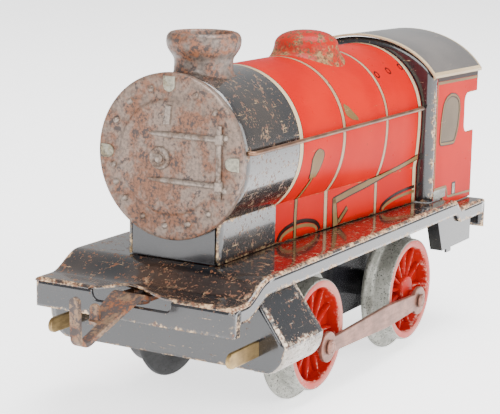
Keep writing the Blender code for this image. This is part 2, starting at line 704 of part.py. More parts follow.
def build_smokebox_front():
    """Pressed front with a raised door, its straps, hinge and knob, and notches for the shell's tabs."""
    centre = (0.0, BARREL_Z)
    disc = bar(DISC_RADIUS, -DISC_DEPTH, 0.0, "x", centre, DISC_SEGMENTS)
    strap_front = 2 * DOOR_HEIGHT
    raised = [
        bar(DOOR_RADIUS, -TIN / 2, DOOR_HEIGHT, "x", centre, DISC_SEGMENTS),
        bar(KNOB_RADIUS, 0.0, 3 * DOOR_HEIGHT, "x", (KNOB_Y, BARREL_Z), EYE_SEGMENTS),
        bar(HINGE_RADIUS, BARREL_Z - HINGE_HALF_LENGTH, BARREL_Z + HINGE_HALF_LENGTH, "z",
            (HINGE_RADIUS / 2, HINGE_Y), WIRE_SEGMENTS),
    ]
    for level in (-STRAP_OFFSET, STRAP_OFFSET):
        middle = BARREL_Z + level
        raised.append(box(-TIN / 2, strap_front, HINGE_Y - STRAP_LENGTH, HINGE_Y,
                          middle - STRAP_HEIGHT / 2, middle + STRAP_HEIGHT / 2))
    half = TAB_HALF_WIDTH + SEAT_GAP
    inner = BARREL_RADIUS - TAB_DEPTH - SEAT_GAP
    outer = DISC_RADIUS + TIN
    span = (-DISC_DEPTH - TIN, TIN)
    notches = [
        box(*span, -half, half, BARREL_Z + inner, BARREL_Z + outer),
        box(*span, inner, outer, BARREL_Z - half, BARREL_Z + half),
        box(*span, -outer, -inner, BARREL_Z - half, BARREL_Z + half),
    ]
    dish = bar(inner - TIN, -DISC_DEPTH - TIN, -2 * TIN, "x", centre, DISC_SEGMENTS)
    piece("smokebox_front", cut(join(disc, *raised), dish, *notches), RUSTED_TIN)


def build_saddle():
    """Plate that closes the front of the skirts below the smokebox."""
    half = skirt_half_width(SHELL_FRONT_X) - TIN - SEAT_GAP
    plate = box(SHELL_FRONT_X - TIN, SHELL_FRONT_X, -half, half, SHELL_BOTTOM_Z, SADDLE_TOP_Z)
    piece("smokebox_saddle", plate, BLACK_ENAMEL)


def barrel_cutter(x, reach):
    """Round bar that trims the foot of a boiler mounting to sit on the barrel."""
    return bar(BARREL_RADIUS + SEAT_GAP, x - reach, x + reach, "x", (0.0, BARREL_Z), 2 * BARREL_SEGMENTS)


def build_chimney():
    """Turned chimney with a swelling rim and an open bore."""
    foot_z = BARREL_Z + BARREL_RADIUS / 2
    rim_z = CHIMNEY_TOP_Z - CHIMNEY_RIM_HEIGHT
    waist_z = (BARREL_TOP_Z + rim_z) / 2
    bore = CHIMNEY_WAIST_RADIUS - CHIMNEY_WALL
    swell = CHIMNEY_RIM_RADIUS - CHIMNEY_WAIST_RADIUS
    half_rim = CHIMNEY_RIM_HEIGHT / 2
    middle = (CHIMNEY_WAIST_RADIUS, rim_z + half_rim)
    rim = arc(middle, swell, half_rim, -math.pi / 2, math.pi / 2, CURVE_STEPS)
    profile = [(CHIMNEY_BASE_RADIUS, foot_z), (CHIMNEY_BASE_RADIUS, BARREL_TOP_Z)]
    profile += [(CHIMNEY_WAIST_RADIUS, waist_z), *rim, (bore, CHIMNEY_TOP_Z), (bore, foot_z)]
    body = turned(profile, "z", MOUNTING_SEGMENTS, closed=True)
    body.transform(Matrix.Translation((CHIMNEY_X, 0, 0)))
    piece("chimney", cut(body, barrel_cutter(CHIMNEY_X, 2 * CHIMNEY_BASE_RADIUS)), RUSTED_TIN)


def build_dome():
    """Pressed dome, hollow below, trimmed to sit on the barrel."""
    foot_z = BARREL_Z + BARREL_RADIUS / 2
    shoulder = DOME_RADIUS - DOME_SHOULDER
    flare_z = BARREL_TOP_Z - DOME_HEIGHT / 4
    neck_z = BARREL_TOP_Z + DOME_HEIGHT / 5
    cap_z = BARREL_TOP_Z + DOME_HEIGHT / 3
    outer = [(DOME_RADIUS, foot_z), (DOME_RADIUS, flare_z), (shoulder + DOME_WALL, neck_z)]
    outer += arc((0.0, cap_z), shoulder, DOME_TOP_Z - cap_z, 0.0, math.pi / 2, CURVE_STEPS)[:-1]
    inner = [(radius - DOME_WALL, z - DOME_WALL) for radius, z in outer[1:]]
    inner.insert(0, (DOME_RADIUS - DOME_WALL, foot_z))
    profile = [(0.0, DOME_TOP_Z), *outer[::-1], *inner, (0.0, DOME_TOP_Z - DOME_WALL)]
    body = turned(profile, "z", MOUNTING_SEGMENTS)
    body.transform(Matrix.Translation((DOME_X, 0, 0)))
    piece("dome", cut(body, barrel_cutter(DOME_X, 2 * DOME_RADIUS)), RED_ENAMEL)


def wire(points, radius):
    """Bend a round wire through points and return it as a mesh."""
    curve = bpy.data.curves.new("wire", "CURVE")
    curve.dimensions = "3D"
    curve.bevel_depth = radius
    curve.bevel_resolution = 2
    curve.use_fill_caps = True
    spline = curve.splines.new("POLY")
    spline.points.add(len(points) - 1)
    for point, place in zip(spline.points, points):
        point.co = (*place, 1.0)
    holder = link(bpy.data.objects.new("wire", curve))
    mesh = bpy.data.meshes.new_from_object(holder.evaluated_get(bpy.context.evaluated_depsgraph_get()))
    bpy.data.objects.remove(holder, do_unlink=True)
    work = bmesh.new()
    work.from_mesh(mesh)
    bmesh.ops.remove_doubles(work, verts=work.verts, dist=radius / 100)
    bmesh.ops.recalc_face_normals(work, faces=work.faces)
    work.to_mesh(mesh)
    work.free()
    return mesh


def build_handrails():
    """Wires along the boiler, each with its ends turned in to the barrel."""
    level = HANDRAIL_Z - BARREL_Z
    wall = math.sqrt(BARREL_RADIUS ** 2 - level ** 2)
    turn = HANDRAIL_STANDOFF - SEAT_GAP
    front = SHELL_FRONT_X - HANDRAIL_FRONT_INSET
    rear = CAB_FRONT_X + HANDRAIL_RADIUS + HANDRAIL_STANDOFF
    front_bend = arc((front - turn, wall + SEAT_GAP), turn, turn, 0.0, math.pi / 2, BEND_STEPS)
    rear_bend = arc((rear + turn, wall + SEAT_GAP), turn, turn, math.pi / 2, math.pi, BEND_STEPS)
    line = front_bend + rear_bend
    for side, sign in sides():
        points = [(x, sign * y, HANDRAIL_Z) for x, y in line]
        piece(f"handrail_{side}", wire(points, HANDRAIL_RADIUS), BRIGHT_STEEL)


def roof_height(y, inset):
    """Height of the roof's elliptical arc, or of one inside it, at a distance from the middle."""
    share = y / (ROOF_HALF_SPAN - inset)
    return ROOF_CENTRE_Z + (ROOF_CAMBER - inset) * math.sqrt(1 - share ** 2)


def roof_arc(inset, half_width):
    """Points of the roof's arc, or of one inside it, from the right eave to the left one."""
    span = ROOF_HALF_SPAN - inset
    spread = math.asin(half_width / span)
    start = math.pi / 2 + spread
    end = math.pi / 2 - spread
    return arc((0.0, ROOF_CENTRE_Z), span, ROOF_CAMBER - inset, start, end, ROOF_STEPS)


def roof_drop(x):
    """How far the roof has fallen at a place behind its front edge."""
    return ROOF_FALL * (ROOF_FRONT_X - x) / (ROOF_FRONT_X - ROOF_REAR_X)


def build_cab_front():
    """Front sheet bent back round both corners and cut to the roof, with a hole for the brake rod."""
    bend_x = CAB_FRONT_X - CAB_BEND_RADIUS
    bend_y = CAB_HALF_WIDTH - CAB_BEND_RADIUS
    plan = []
    for radius in (CAB_BEND_RADIUS, CAB_BEND_RADIUS - TIN):
        corner = arc((bend_x, bend_y), radius, radius, 0.0, math.pi / 2, BEND_STEPS)
        line = [(x, -y) for x, y in corner[::-1]] + corner
        plan += line[::-1] if plan else line
    sheet = prism(plan, SHELL_BOTTOM_Z, ROOF_CROWN_Z, "z")
    seat = [(y, z - roof_drop(bend_x)) for y, z in roof_arc(ROOF_SEAT, CAB_HALF_WIDTH)]
    wide = CAB_HALF_WIDTH + TIN
    above = ROOF_CROWN_Z + TIN
    sky = [(-wide, above), (-wide, seat[0][1]), *seat, (wide, seat[-1][1]), (wide, above)]
    hole = bar(BRAKE_ROD_RADIUS + RUNNING_GAP, bend_x, CAB_FRONT_X + TIN, "x", (BRAKE_ROD_Y, BRAKE_ROD_Z))
    piece("cab_front", cut(sheet, prism(sky, bend_x - TIN, CAB_FRONT_X + TIN, "x"), hole), BLACK_ENAMEL)


def build_cab_sides():
    """Sides that follow the footplate's step below and are cut away behind between waist and eave."""
    top = roof_height(CAB_HALF_WIDTH, ROOF_SEAT)
    head = top - CAB_HEAD_DROP
    waist = head - CAB_OPENING_HEIGHT
    rear_bottom = REAR_DECK_Z + SEAT_GAP
    radius = CAB_CORNER_RADIUS
    corner_x = CAB_OPENING_X - radius
    outline = [(CAB_SIDE_FRONT_X, SHELL_BOTTOM_Z), (CAB_SIDE_FRONT_X, top - roof_drop(CAB_SIDE_FRONT_X))]
    outline += [(CAB_EAVE_X, top - roof_drop(CAB_EAVE_X)), (CAB_EAVE_X, head)]
    outline += arc((corner_x, head - radius), radius, radius, math.pi / 2, 0.0, BEND_STEPS)
    outline += arc((corner_x, waist + radius), radius, radius, 0.0, -math.pi / 2, BEND_STEPS)
    outline += [(CAB_WAIST_X, waist), (CAB_WAIST_X, rear_bottom)]
    outline += ease((STEP_FRONT_X, SHELL_BOTTOM_Z), (STEP_BACK_X, rear_bottom), BEND_STEPS)[::-1]
    for side, sign in sides():
        edges = sorted((sign * CAB_HALF_WIDTH, sign * (CAB_HALF_WIDTH - TIN)))
        piece(f"cab_side_{side}", prism(outline, *edges, "y"), RED_ENAMEL)


def build_cab_roof():
    """Arched roof with turned-down eaves, falling a little to the rear."""
    outer = roof_arc(0.0, ROOF_HALF_WIDTH)
    inner = roof_arc(TIN, ROOF_HALF_WIDTH - TIN)
    eave = roof_height(ROOF_HALF_WIDTH, 0.0) - ROOF_LIP
    lips = [(ROOF_HALF_WIDTH, eave), (ROOF_HALF_WIDTH - TIN, eave)]
    far_lips = [(-ROOF_HALF_WIDTH + TIN, eave), (-ROOF_HALF_WIDTH, eave)]
    roof = prism(outer + lips + inner[::-1] + far_lips, ROOF_REAR_X, ROOF_FRONT_X, "x")
    slope = Matrix.Identity(4)
    slope[2][0] = ROOF_FALL / (ROOF_FRONT_X - ROOF_REAR_X)
    slope[2][3] = -slope[2][0] * ROOF_FRONT_X
    roof.transform(slope)
    piece("cab_roof", roof, BLACK_ENAMEL)


def build_cab_steps():
    """Plates hung behind the valance below the cab, with a flange turned in along the raked front edge."""
    high = FOOTPLATE_UNDERSIDE_Z - SEAT_GAP
    low = REAR_DECK_Z - TIN - SEAT_GAP
    toe_x = CAB_STEP_FRONT_X - CAB_STEP_RAKE
    foot_front = toe_x - CAB_STEP_FOOT_LENGTH
    foot_rear = foot_front - CAB_STEP_FOOT_LENGTH
    foot_z = CAB_STEP_BOTTOM_Z - CAB_STEP_FOOT_DROP
    outer = FOOTPLATE_HALF_WIDTH - TIN - SEAT_GAP
    outline = [(CAB_STEP_FRONT_X, high), *ease((STEP_FRONT_X, high), (STEP_BACK_X, low), BEND_STEPS)]
    outline += [(CAB_STEP_REAR_X, low), (CAB_STEP_REAR_X, CAB_STEP_BOTTOM_Z)]
    outline += [(foot_rear, CAB_STEP_BOTTOM_Z), (foot_rear, foot_z), (foot_front, foot_z)]
    outline += [(foot_front, CAB_STEP_BOTTOM_Z), (toe_x, CAB_STEP_BOTTOM_Z)]
    edge = [(CAB_STEP_FRONT_X, high), (CAB_STEP_FRONT_X - TIN, high)]
    edge += [(toe_x - TIN, CAB_STEP_BOTTOM_Z), (toe_x, CAB_STEP_BOTTOM_Z)]
    for side, sign in sides():
        plate = prism(outline, *sorted((sign * outer, sign * (outer - TIN))), "y")
        flange = prism(edge, *sorted((sign * outer, sign * (outer - CAB_STEP_FLANGE))), "y")
        piece(f"cab_step_{side}", join(plate, flange), BLACK_ENAMEL)


def wheel_mesh():
    """Cast wheel for the left side: flange, tread, recessed web with raised spokes, hub and crank boss."""
    web_front = WHEEL_OUTER_Y - RIM_RECESS
    web_back = web_front - WEB_THICKNESS
    rim_inner = TREAD_RADIUS - RIM_WALL
    hub_back = MOTOR_HALF_WIDTH + RUNNING_GAP
    hub_front = WHEEL_OUTER_Y - HUB_RECESS
    tread_back = WHEEL_INNER_Y + FLANGE_WIDTH
    pin_bottom = WHEEL_OUTER_Y - CRANK_PIN_GRIP - SEAT_GAP
    profile = [
        (rim_inner, web_back), (rim_inner, WHEEL_INNER_Y), (FLANGE_RADIUS, WHEEL_INNER_Y),
        (FLANGE_RADIUS, tread_back), (TREAD_RADIUS, tread_back), (TREAD_RADIUS, WHEEL_OUTER_Y),
        (rim_inner, WHEEL_OUTER_Y), (rim_inner, web_front), (HUB_RADIUS, web_front),
        (HUB_RADIUS, hub_front), (0.0, hub_front),
    ]
    profile = [(0.0, hub_back), (HUB_RADIUS, hub_back), (HUB_RADIUS, web_back), *profile]
    half_step = math.pi / WHEEL_SEGMENTS
    wheel = turned(profile, "y", WHEEL_SEGMENTS, phase=half_step)
    added = [bar(CRANK_BOSS_RADIUS, web_back, WHEEL_OUTER_Y, "y", (CRANK_THROW, 0.0))]
    for i in range(SPOKE_COUNT):
        spoke = box(HUB_RADIUS / 2, rim_inner + RIM_WALL / 2, web_front - WEB_THICKNESS / 2,
                    web_front + SPOKE_HEIGHT, -SPOKE_WIDTH / 2, SPOKE_WIDTH / 2)
        spoke.transform(Matrix.Rotation(2 * math.pi * (i + 0.5) / SPOKE_COUNT, 4, "Y"))
        added.append(spoke)
    bores = [
        bar(AXLE_RADIUS + BEARING_GAP, 0.0, WHEEL_OUTER_Y + TIN, "y"),
        bar(CRANK_PIN_RADIUS + BEARING_GAP, pin_bottom, WHEEL_OUTER_Y + TIN, "y", (CRANK_THROW, 0.0)),
    ]
    return cut(join(wheel, *added), *bores)


def crank_pin_mesh():
    """Shouldered pin for the left side, from inside the crank boss to its head outside the rod."""
    head = ROD_OUTER_Y + SEAT_GAP
    centre = (CRANK_THROW, 0.0)
    pin = bar(CRANK_PIN_RADIUS, WHEEL_OUTER_Y - CRANK_PIN_GRIP, head + CRANK_HEAD_HEIGHT / 2, "y", centre)
    cap = bar(CRANK_HEAD_RADIUS, head, head + CRANK_HEAD_HEIGHT, "y", centre, EYE_SEGMENTS)
    return join(pin, cap)


def build_wheelset(name, x):
    """One axle with its two wheels and crank pins, on a pivot at the axle."""
    axle_pivot = pivot(f"{name}_wheelset", x, AXLE_Z)
    reach = WHEEL_OUTER_Y - HUB_RECESS
    piece(f"{name}_axle", bar(AXLE_RADIUS, -reach, reach, "y"), BRIGHT_STEEL, axle_pivot)
    wheel = wheel_mesh()
    pin = crank_pin_mesh()
    angles = {"left": CRANK_ANGLE_LEFT, "right": CRANK_ANGLE_RIGHT}
    for side, sign in sides():
        turn = facing(sign, angles[side])
        piece(f"{name}_wheel_{side}", wheel.copy(), CAST_WHEEL, axle_pivot, rotation=turn)
        piece(f"{name}_crank_pin_{side}", pin.copy(), ROD_STEEL, axle_pivot, rotation=turn)
    return axle_pivot


def build_coupling_rods():
    """Tapering rods between the crank pins, each hung on its rear pin."""
    front_half = ROD_FRONT_HEIGHT / 2
    rear_half = ROD_REAR_HEIGHT / 2
    outline = [(0.0, -rear_half), (WHEELBASE, -front_half), (WHEELBASE, front_half), (0.0, rear_half)]
    angles = {"left": CRANK_ANGLE_LEFT, "right": CRANK_ANGLE_RIGHT}
    for side, sign in sides():
        edges = sorted((sign * ROD_INNER_Y, sign * ROD_OUTER_Y))
        past = (edges[0] - TIN, edges[1] + TIN)
        eyes = [bar(ROD_EYE_RADIUS, *edges, "y", (x, 0.0), EYE_SEGMENTS) for x in (0.0, WHEELBASE)]
        holes = [bar(CRANK_PIN_RADIUS + BEARING_GAP, *past, "y", (x, 0.0)) for x in (0.0, WHEELBASE)]
        body = cut(join(prism(outline, *edges, "y"), *eyes), *holes)
        x = REAR_AXLE_X + CRANK_THROW * math.cos(angles[side])
        z = AXLE_Z + CRANK_THROW * math.sin(angles[side])
        piece(f"coupling_rod_{side}", body, ROD_STEEL, location=(x, 0, z))


def gear_outline(teeth, phase):
    """Outline of a stamped gear with straight-sided teeth; one tooth's middle lies at the phase angle."""
    pitch_radius = GEAR_MODULE * teeth / 2
    tip = pitch_radius + GEAR_ADDENDUM * GEAR_MODULE
    root = pitch_radius - GEAR_DEDENDUM * GEAR_MODULE
    foot = TOOTH_ROOT_SHARE
    land = TOOTH_TIP_SHARE
    pitch = 2 * math.pi / teeth
    points = []
    for i in range(teeth):
        middle = phase + i * pitch
        for radius, share in ((root, -foot), (tip, -land), (tip, land), (root, foot)):
            angle = middle + share * pitch
            points.append((radius * math.cos(angle), radius * math.sin(angle)))
    return points


def gear(teeth, phase, low, high, bore):
    """Stamped gear with a bore, standing on the y axis."""
    blank = prism(gear_outline(teeth, phase), low, high, "y")
    return cut(blank, bar(bore, low - TIN, high + TIN, "y"))


def build_clockwork(rear_wheelset):
    """Spring motor: gear train from the winding arbor to the rear axle, spring, plates and pillars."""
    great_high = GREAT_Y + GREAT_WIDTH
    second_high = SECOND_WHEEL_Y + SECOND_WHEEL_WIDTH
    great_pivot = pivot("great_wheel_axis", ARBOR_X, ARBOR_Z)
    second_pivot = pivot("second_arbor_axis", SECOND_X, SECOND_Z)
    second_bore = SECOND_ARBOR_RADIUS + BEARING_GAP
    phase = SECOND_TO_GREAT_ANGLE + math.pi
    great = gear(GREAT_TEETH, phase, GREAT_Y, great_high, WINDING_ARBOR_RADIUS + BEARING_GAP)
    piece("great_wheel", great, BRASS, great_pivot)
    phase = SECOND_TO_GREAT_ANGLE + math.pi / SECOND_PINION_TEETH
    pinion = gear(SECOND_PINION_TEETH, phase, GREAT_Y - PINION_EXTRA, great_high + PINION_EXTRA, second_bore)
    piece("second_pinion", pinion, BRIGHT_STEEL, second_pivot)
    phase = AXLE_TO_SECOND_ANGLE + math.pi
    second = gear(SECOND_WHEEL_TEETH, phase, SECOND_WHEEL_Y, second_high, second_bore)
    piece("second_wheel", second, BRASS, second_pivot)
    phase = AXLE_TO_SECOND_ANGLE + math.pi / AXLE_GEAR_TEETH
    driven = gear(AXLE_GEAR_TEETH, phase, SECOND_WHEEL_Y - PINION_EXTRA, second_high + PINION_EXTRA,
                  AXLE_RADIUS + BEARING_GAP)
    piece("axle_gear", driven, BRIGHT_STEEL, rear_wheelset)
    arbor = bar(SECOND_ARBOR_RADIUS, -MOTOR_HALF_WIDTH, MOTOR_HALF_WIDTH, "y")
    piece("second_arbor", arbor, BRIGHT_STEEL, second_pivot)
    build_winding(great_pivot, great_high + RUNNING_GAP)
    build_mainspring()
    build_motor_frame()


def build_winding(great_pivot, star_low):
    """Winding arbor with a square for the key, and the sprung star that clicks on the great wheel."""
    shoulder = MOTOR_INNER_Y - RUNNING_GAP
    square = WINDING_SQUARE / 2
    square_end = SEAT_GAP - skirt_half_width(ARBOR_X)
    arbor = join(
        bar(WINDING_ARBOR_RADIUS, -shoulder, shoulder, "y"),
        bar(WINDING_JOURNAL_RADIUS, -MOTOR_HALF_WIDTH, MOTOR_HALF_WIDTH, "y"),
        box(-square, square, square_end, -shoulder, -square, square),
    )
    piece("winding_arbor", arbor, BRIGHT_STEEL, great_pivot)
    star_high = star_low + RATCHET_THICKNESS
    half_arm = RATCHET_ARM_WIDTH / 2
    star = bar(WINDING_ARBOR_RADIUS + RATCHET_HUB_WALL, star_low, star_high, "y")
    arms = []
    for i in range(RATCHET_ARMS):
        arm = box(0.0, RATCHET_RADIUS, star_low, star_high, -half_arm, half_arm)
        arm.transform(Matrix.Rotation(2 * math.pi * i / RATCHET_ARMS, 4, "Y"))
        arms.append(arm)
    hub_hole = bar(WINDING_ARBOR_RADIUS + BEARING_GAP, star_low - TIN, star_high + TIN, "y")
    piece("ratchet_spring", cut(join(star, *arms), hub_hole), SPRING_STEEL, great_pivot)


def build_mainspring():
    """Coiled strip round the winding arbor, open at both ends."""
    steps = SPRING_TURNS * SPRING_STEPS_PER_TURN
    high = GREAT_Y - RUNNING_GAP
    low = high - SPRING_WIDTH
    growth = SPRING_OUTER_RADIUS - SPRING_INNER_RADIUS - SPRING_THICKNESS
    inner = []
    outer = []
    for i in range(steps + 1):
        angle = 2 * math.pi * i / SPRING_STEPS_PER_TURN
        radius = SPRING_INNER_RADIUS + growth * i / steps
        inner.append((radius * math.cos(angle), radius * math.sin(angle)))
        radius += SPRING_THICKNESS
        outer.append((radius * math.cos(angle), radius * math.sin(angle)))
    least = growth / SPRING_TURNS - SPRING_THICKNESS
    print(f"mainspring: least gap between turns {least * 1000:.2f} mm")
    count = steps + 1
    vertices = []
    for height in (low, high):
        vertices += [along("y", height, u, v) for u, v in inner + outer]
    faces = []
    for i in range(steps):
        for first, second in ((0, 1), (2, 3), (0, 2), (1, 3)):
            a = first * count + i
            b = second * count + i
            faces.append([a, a + 1, b + 1, b])
    for i in (0, steps):
        faces.append([i, count + i, 3 * count + i, 2 * count + i])
    piece("mainspring", mesh_from(vertices, faces), SPRING_STEEL, location=(ARBOR_X, 0, ARBOR_Z))


def pillar_places():
    """Places of the pillars that hold the clockwork plates apart."""
    front = MOTOR_TOP_FRONT_X - PILLAR_INSET
    rear = MOTOR_TOP_REAR_X + PILLAR_INSET
    upper = MOTOR_TOP_Z - PILLAR_INSET
    lower = MOTOR_BOTTOM_Z + PILLAR_INSET
    middle = (FRONT_AXLE_X + REAR_AXLE_X) / 2
    return (("top_front", front, upper), ("top_rear", rear, upper), ("bottom", middle, lower))


def build_motor_frame():
    """Two side plates with bent-out lugs under the footplate, and the pillars between them."""
    front = FRONT_AXLE_X + MOTOR_OVERHANG
    rear = REAR_AXLE_X - MOTOR_OVERHANG
    shoulder = MOTOR_SHOULDER_Z
    outline = [(rear, MOTOR_BOTTOM_Z), (front, MOTOR_BOTTOM_Z), (front, shoulder)]
    outline += [(MOTOR_TOP_FRONT_X, shoulder), (MOTOR_TOP_FRONT_X, MOTOR_TOP_Z)]
    outline += [(MOTOR_TOP_REAR_X, MOTOR_TOP_Z), (MOTOR_TOP_REAR_X, shoulder), (rear, shoulder)]
    bearings = [
        (AXLE_RADIUS, FRONT_AXLE_X, AXLE_Z),
        (AXLE_RADIUS, REAR_AXLE_X, AXLE_Z),
        (SECOND_ARBOR_RADIUS, SECOND_X, SECOND_Z),
        (WINDING_JOURNAL_RADIUS, ARBOR_X, ARBOR_Z),
    ]
    low = MOTOR_INNER_Y
    high = MOTOR_HALF_WIDTH
    for side, sign in sides():
        edges = sorted((sign * low, sign * high))
        past = (edges[0] - TIN, edges[1] + TIN)
        lug_edges = sorted((sign * low, sign * (high + MOTOR_LUG_REACH)))
        lugs = [
            box(front - MOTOR_LUG_LENGTH, front, *lug_edges, shoulder - MOTOR_PLATE, shoulder),
            box(rear, rear + MOTOR_LUG_LENGTH, *lug_edges, shoulder - MOTOR_PLATE, shoulder),
        ]
        plate = join(prism(outline, *edges, "y"), *lugs)
        holes = [bar(radius + BEARING_GAP, *past, "y", (x, z)) for radius, x, z in bearings]
        piece(f"motor_plate_{side}", cut(plate, *holes), BRIGHT_STEEL)
    half = MOTOR_INNER_Y - SEAT_GAP
    for name, x, z in pillar_places():
        piece(f"pillar_{name}", bar(PILLAR_RADIUS, -half, half, "y", (x, z), WIRE_SEGMENTS), BRIGHT_STEEL)


def build_brake():
    """Rod that slides from the cab to the rim of the second wheel, with its knob and guide."""
    rise = BRAKE_ROD_Z - BRAKE_ROD_RADIUS - SECOND_Z
    stand_off = math.sqrt(max(SECOND_WHEEL_REACH ** 2 - rise ** 2, 0.0))
    front = SECOND_X - stand_off - RUNNING_GAP
    rear = CAB_FRONT_X - BRAKE_ROD_IN_CAB
    place = (BRAKE_ROD_Y, BRAKE_ROD_Z)
    piece("brake_rod", bar(BRAKE_ROD_RADIUS, rear, front, "x", place, WIRE_SEGMENTS), BRIGHT_STEEL)
    radius = BRAKE_KNOB_RADIUS
    ball = arc((0.0, 0.0), radius, radius, -math.pi / 2, math.pi / 2, CURVE_STEPS)[1:-1]
    knob = turned([(0.0, -radius), *ball, (0.0, radius)], "x", WIRE_SEGMENTS)
    piece("brake_knob", knob, RED_ENAMEL, location=(rear - SEAT_GAP - radius, *place))
    guide = box(BRAKE_GUIDE_X - TIN, BRAKE_GUIDE_X + TIN, BRAKE_ROD_Y - BRAKE_GUIDE_HALF_WIDTH,
                BRAKE_ROD_Y + BRAKE_GUIDE_HALF_WIDTH, SHELL_BOTTOM_Z, SHELL_BOTTOM_Z + BRAKE_GUIDE_HEIGHT)
    hole = bar(BRAKE_ROD_RADIUS + BEARING_GAP, BRAKE_GUIDE_X - 2 * TIN, BRAKE_GUIDE_X + 2 * TIN, "x", place,
               WIRE_SEGMENTS)
    piece("brake_guide", cut(guide, hole), BRIGHT_STEEL)


def ribbon(line, thickness, low, high):
    """Bent strip: a line of (x, z) points given thickness and width across y."""
    half = thickness / 2
    return prism(offset(line, half) + offset(line, -half)[::-1], low, high, "y")


def rivet(name, x, deck_z, strip_bottom):
    """Rivet with a head under the coupling strip and its other end flush with the deck."""
    head_top = strip_bottom - SEAT_GAP
    shank = bar(RIVET_RADIUS, head_top - RIVET_HEAD_HEIGHT / 2, deck_z, "z", (x, 0.0))
    head = bar(RIVET_HEAD_RADIUS, head_top - RIVET_HEAD_HEIGHT, head_top, "z", (x, 0.0))
    piece(name, join(shank, head), BRIGHT_STEEL)


def build_front_coupling():
    """Hook pressed from strip: it slopes down from the arch to a prong and has a tab on its right."""
    half = HOOK_THICKNESS / 2
    level = DECK_Z - TIN - SEAT_GAP - half
    crest = BEAM_X - HOOK_PIVOT_X
    hump = HOOK_ARCH_RISE / 2
    brow = crest + HOOK_THICKNESS
    heel = HOOK_REACH - 2 * HOOK_THICKNESS
    tip = HOOK_REACH + half
    line = [(-HOOK_HALF_WIDTH, 0.0), (RIVET_HEAD_RADIUS, 0.0), (crest, hump), (brow, hump)]
    line += [(heel, -HOOK_DROP), (HOOK_REACH, HOOK_THICKNESS - HOOK_DROP)]
    line.append((tip, HOOK_PRONG_HEIGHT - HOOK_DROP))
    strip = ribbon(line, HOOK_THICKNESS, -HOOK_HALF_WIDTH, HOOK_HALF_WIDTH)
    tab_right = HOOK_TAB_INSET - HOOK_HALF_WIDTH
    tab_left = tab_right + HOOK_TAB_WIDTH
    end = tip + HOOK_THICKNESS
    prong = HOOK_PRONG_HALF_WIDTH
    root = -2 * HOOK_HALF_WIDTH
    plan = [(root, HOOK_HALF_WIDTH), (crest, HOOK_HALF_WIDTH), (HOOK_REACH, prong), (end, prong)]
    plan += [(end, -prong), (HOOK_REACH, -prong), (HOOK_FORK, tab_left), (HOOK_FORK, tab_right)]
    plan += [(crest, -HOOK_HALF_WIDTH), (root, -HOOK_HALF_WIDTH)]
    hook = combine(strip, [prism(plan, -2 * HOOK_DROP, 2 * HOOK_PRONG_HEIGHT, "z")], "INTERSECT")
    fork_z = hump - (HOOK_DROP + hump) * (HOOK_FORK - brow) / (heel - brow)
    bend = HOOK_FORK - HOOK_THICKNESS
    tab = [(bend - half, fork_z + half), (bend, fork_z + half), (HOOK_FORK - half, fork_z + HOOK_TAB_HEIGHT)]
    hook = join(hook, ribbon(tab, HOOK_THICKNESS, tab_right, tab_left - RUNNING_GAP))
    hole = bar(RIVET_RADIUS + BEARING_GAP, -HOOK_THICKNESS, HOOK_THICKNESS, "z")
    piece("front_coupling", cut(hook, hole), RUSTED_TIN, location=(HOOK_PIVOT_X, 0, level),
          rotation=Matrix.Rotation(HOOK_SWING, 4, "Z"))
    rivet("front_coupling_rivet", HOOK_PIVOT_X, DECK_Z, level - half)


def build_rear_coupling():
    """Drawbar under the rear deck, set down behind the beam, with an eye at its end."""
    half = HOOK_THICKNESS / 2
    wide = REAR_COUPLING_HALF_WIDTH
    level = REAR_DECK_Z - TIN - SEAT_GAP - half
    bend = -REAR_PIVOT_SETBACK - 2 * HOOK_THICKNESS
    low = -REAR_COUPLING_SET_DOWN
    end = (-REAR_COUPLING_REACH, 0.0)
    line = [(wide, 0.0), (bend, 0.0), (bend - REAR_COUPLING_SET_DOWN, low), (end[0], low)]
    strip = ribbon(line, HOOK_THICKNESS, -wide, wide)
    eye = bar(wide, low - half, low + half, "z", end, EYE_SEGMENTS)
    holes = [
        bar(RIVET_RADIUS + BEARING_GAP, -HOOK_THICKNESS, HOOK_THICKNESS, "z"),
        bar(REAR_COUPLING_HOLE_RADIUS, low - HOOK_THICKNESS, low + HOOK_THICKNESS, "z", end),
    ]
    drawbar = cut(join(strip, eye), *holes)
    piece("rear_coupling", drawbar, RUSTED_TIN, location=(REAR_PIVOT_X, 0, level))
    rivet("rear_coupling_rivet", REAR_PIVOT_X, REAR_DECK_Z, level - half)


def centre_length():
    """Move the engine so that its origin lies under the middle of its length."""
    bpy.context.view_layer.update()
    ends = []
    for item in bpy.data.objects:
        if item.type == "MESH":
            ends += [(item.matrix_world @ vertex.co).x for vertex in item.data.vertices]
    ENGINE.location.x = -(min(ends) + max(ends)) / 2
    bpy.context.view_layer.update()
    print(f"engine: datum moved by {ENGINE.location.x * 1000:.3f} mm")
    for item in bpy.data.objects:
        if item.type == "EMPTY" or item.name.startswith(("coupling_rod", "front_coupling", "rear_coupling")):
            print(f"axis {item.name}: {[round(value, 6) for value in item.matrix_world.translation]}")


build_footplate()
build_cylinder_block()
build_piston_rods()
build_boiler_shell()
build_smokebox_front()
build_saddle()
build_chimney()
build_dome()
build_handrails()
build_cab_front()
build_cab_sides()
build_cab_roof()
build_cab_steps()
build_wheelset("front", FRONT_AXLE_X)
REAR_WHEELSET = build_wheelset("rear", REAR_AXLE_X)
build_coupling_rods()
build_clockwork(REAR_WHEELSET)
build_brake()
build_front_coupling()
build_rear_coupling()
centre_length()
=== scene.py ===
"""Looks of an old tinplate clockwork engine in worn red and black enamel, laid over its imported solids.

Lengths are millimetres in the engine's own frame: x is 0 at the smokebox front and grows forwards, y is 0 on the
centre line and grows to the engine's left, z is 0 at rail level. put() turns them into metres in the part's frame.
"""

from __future__ import annotations

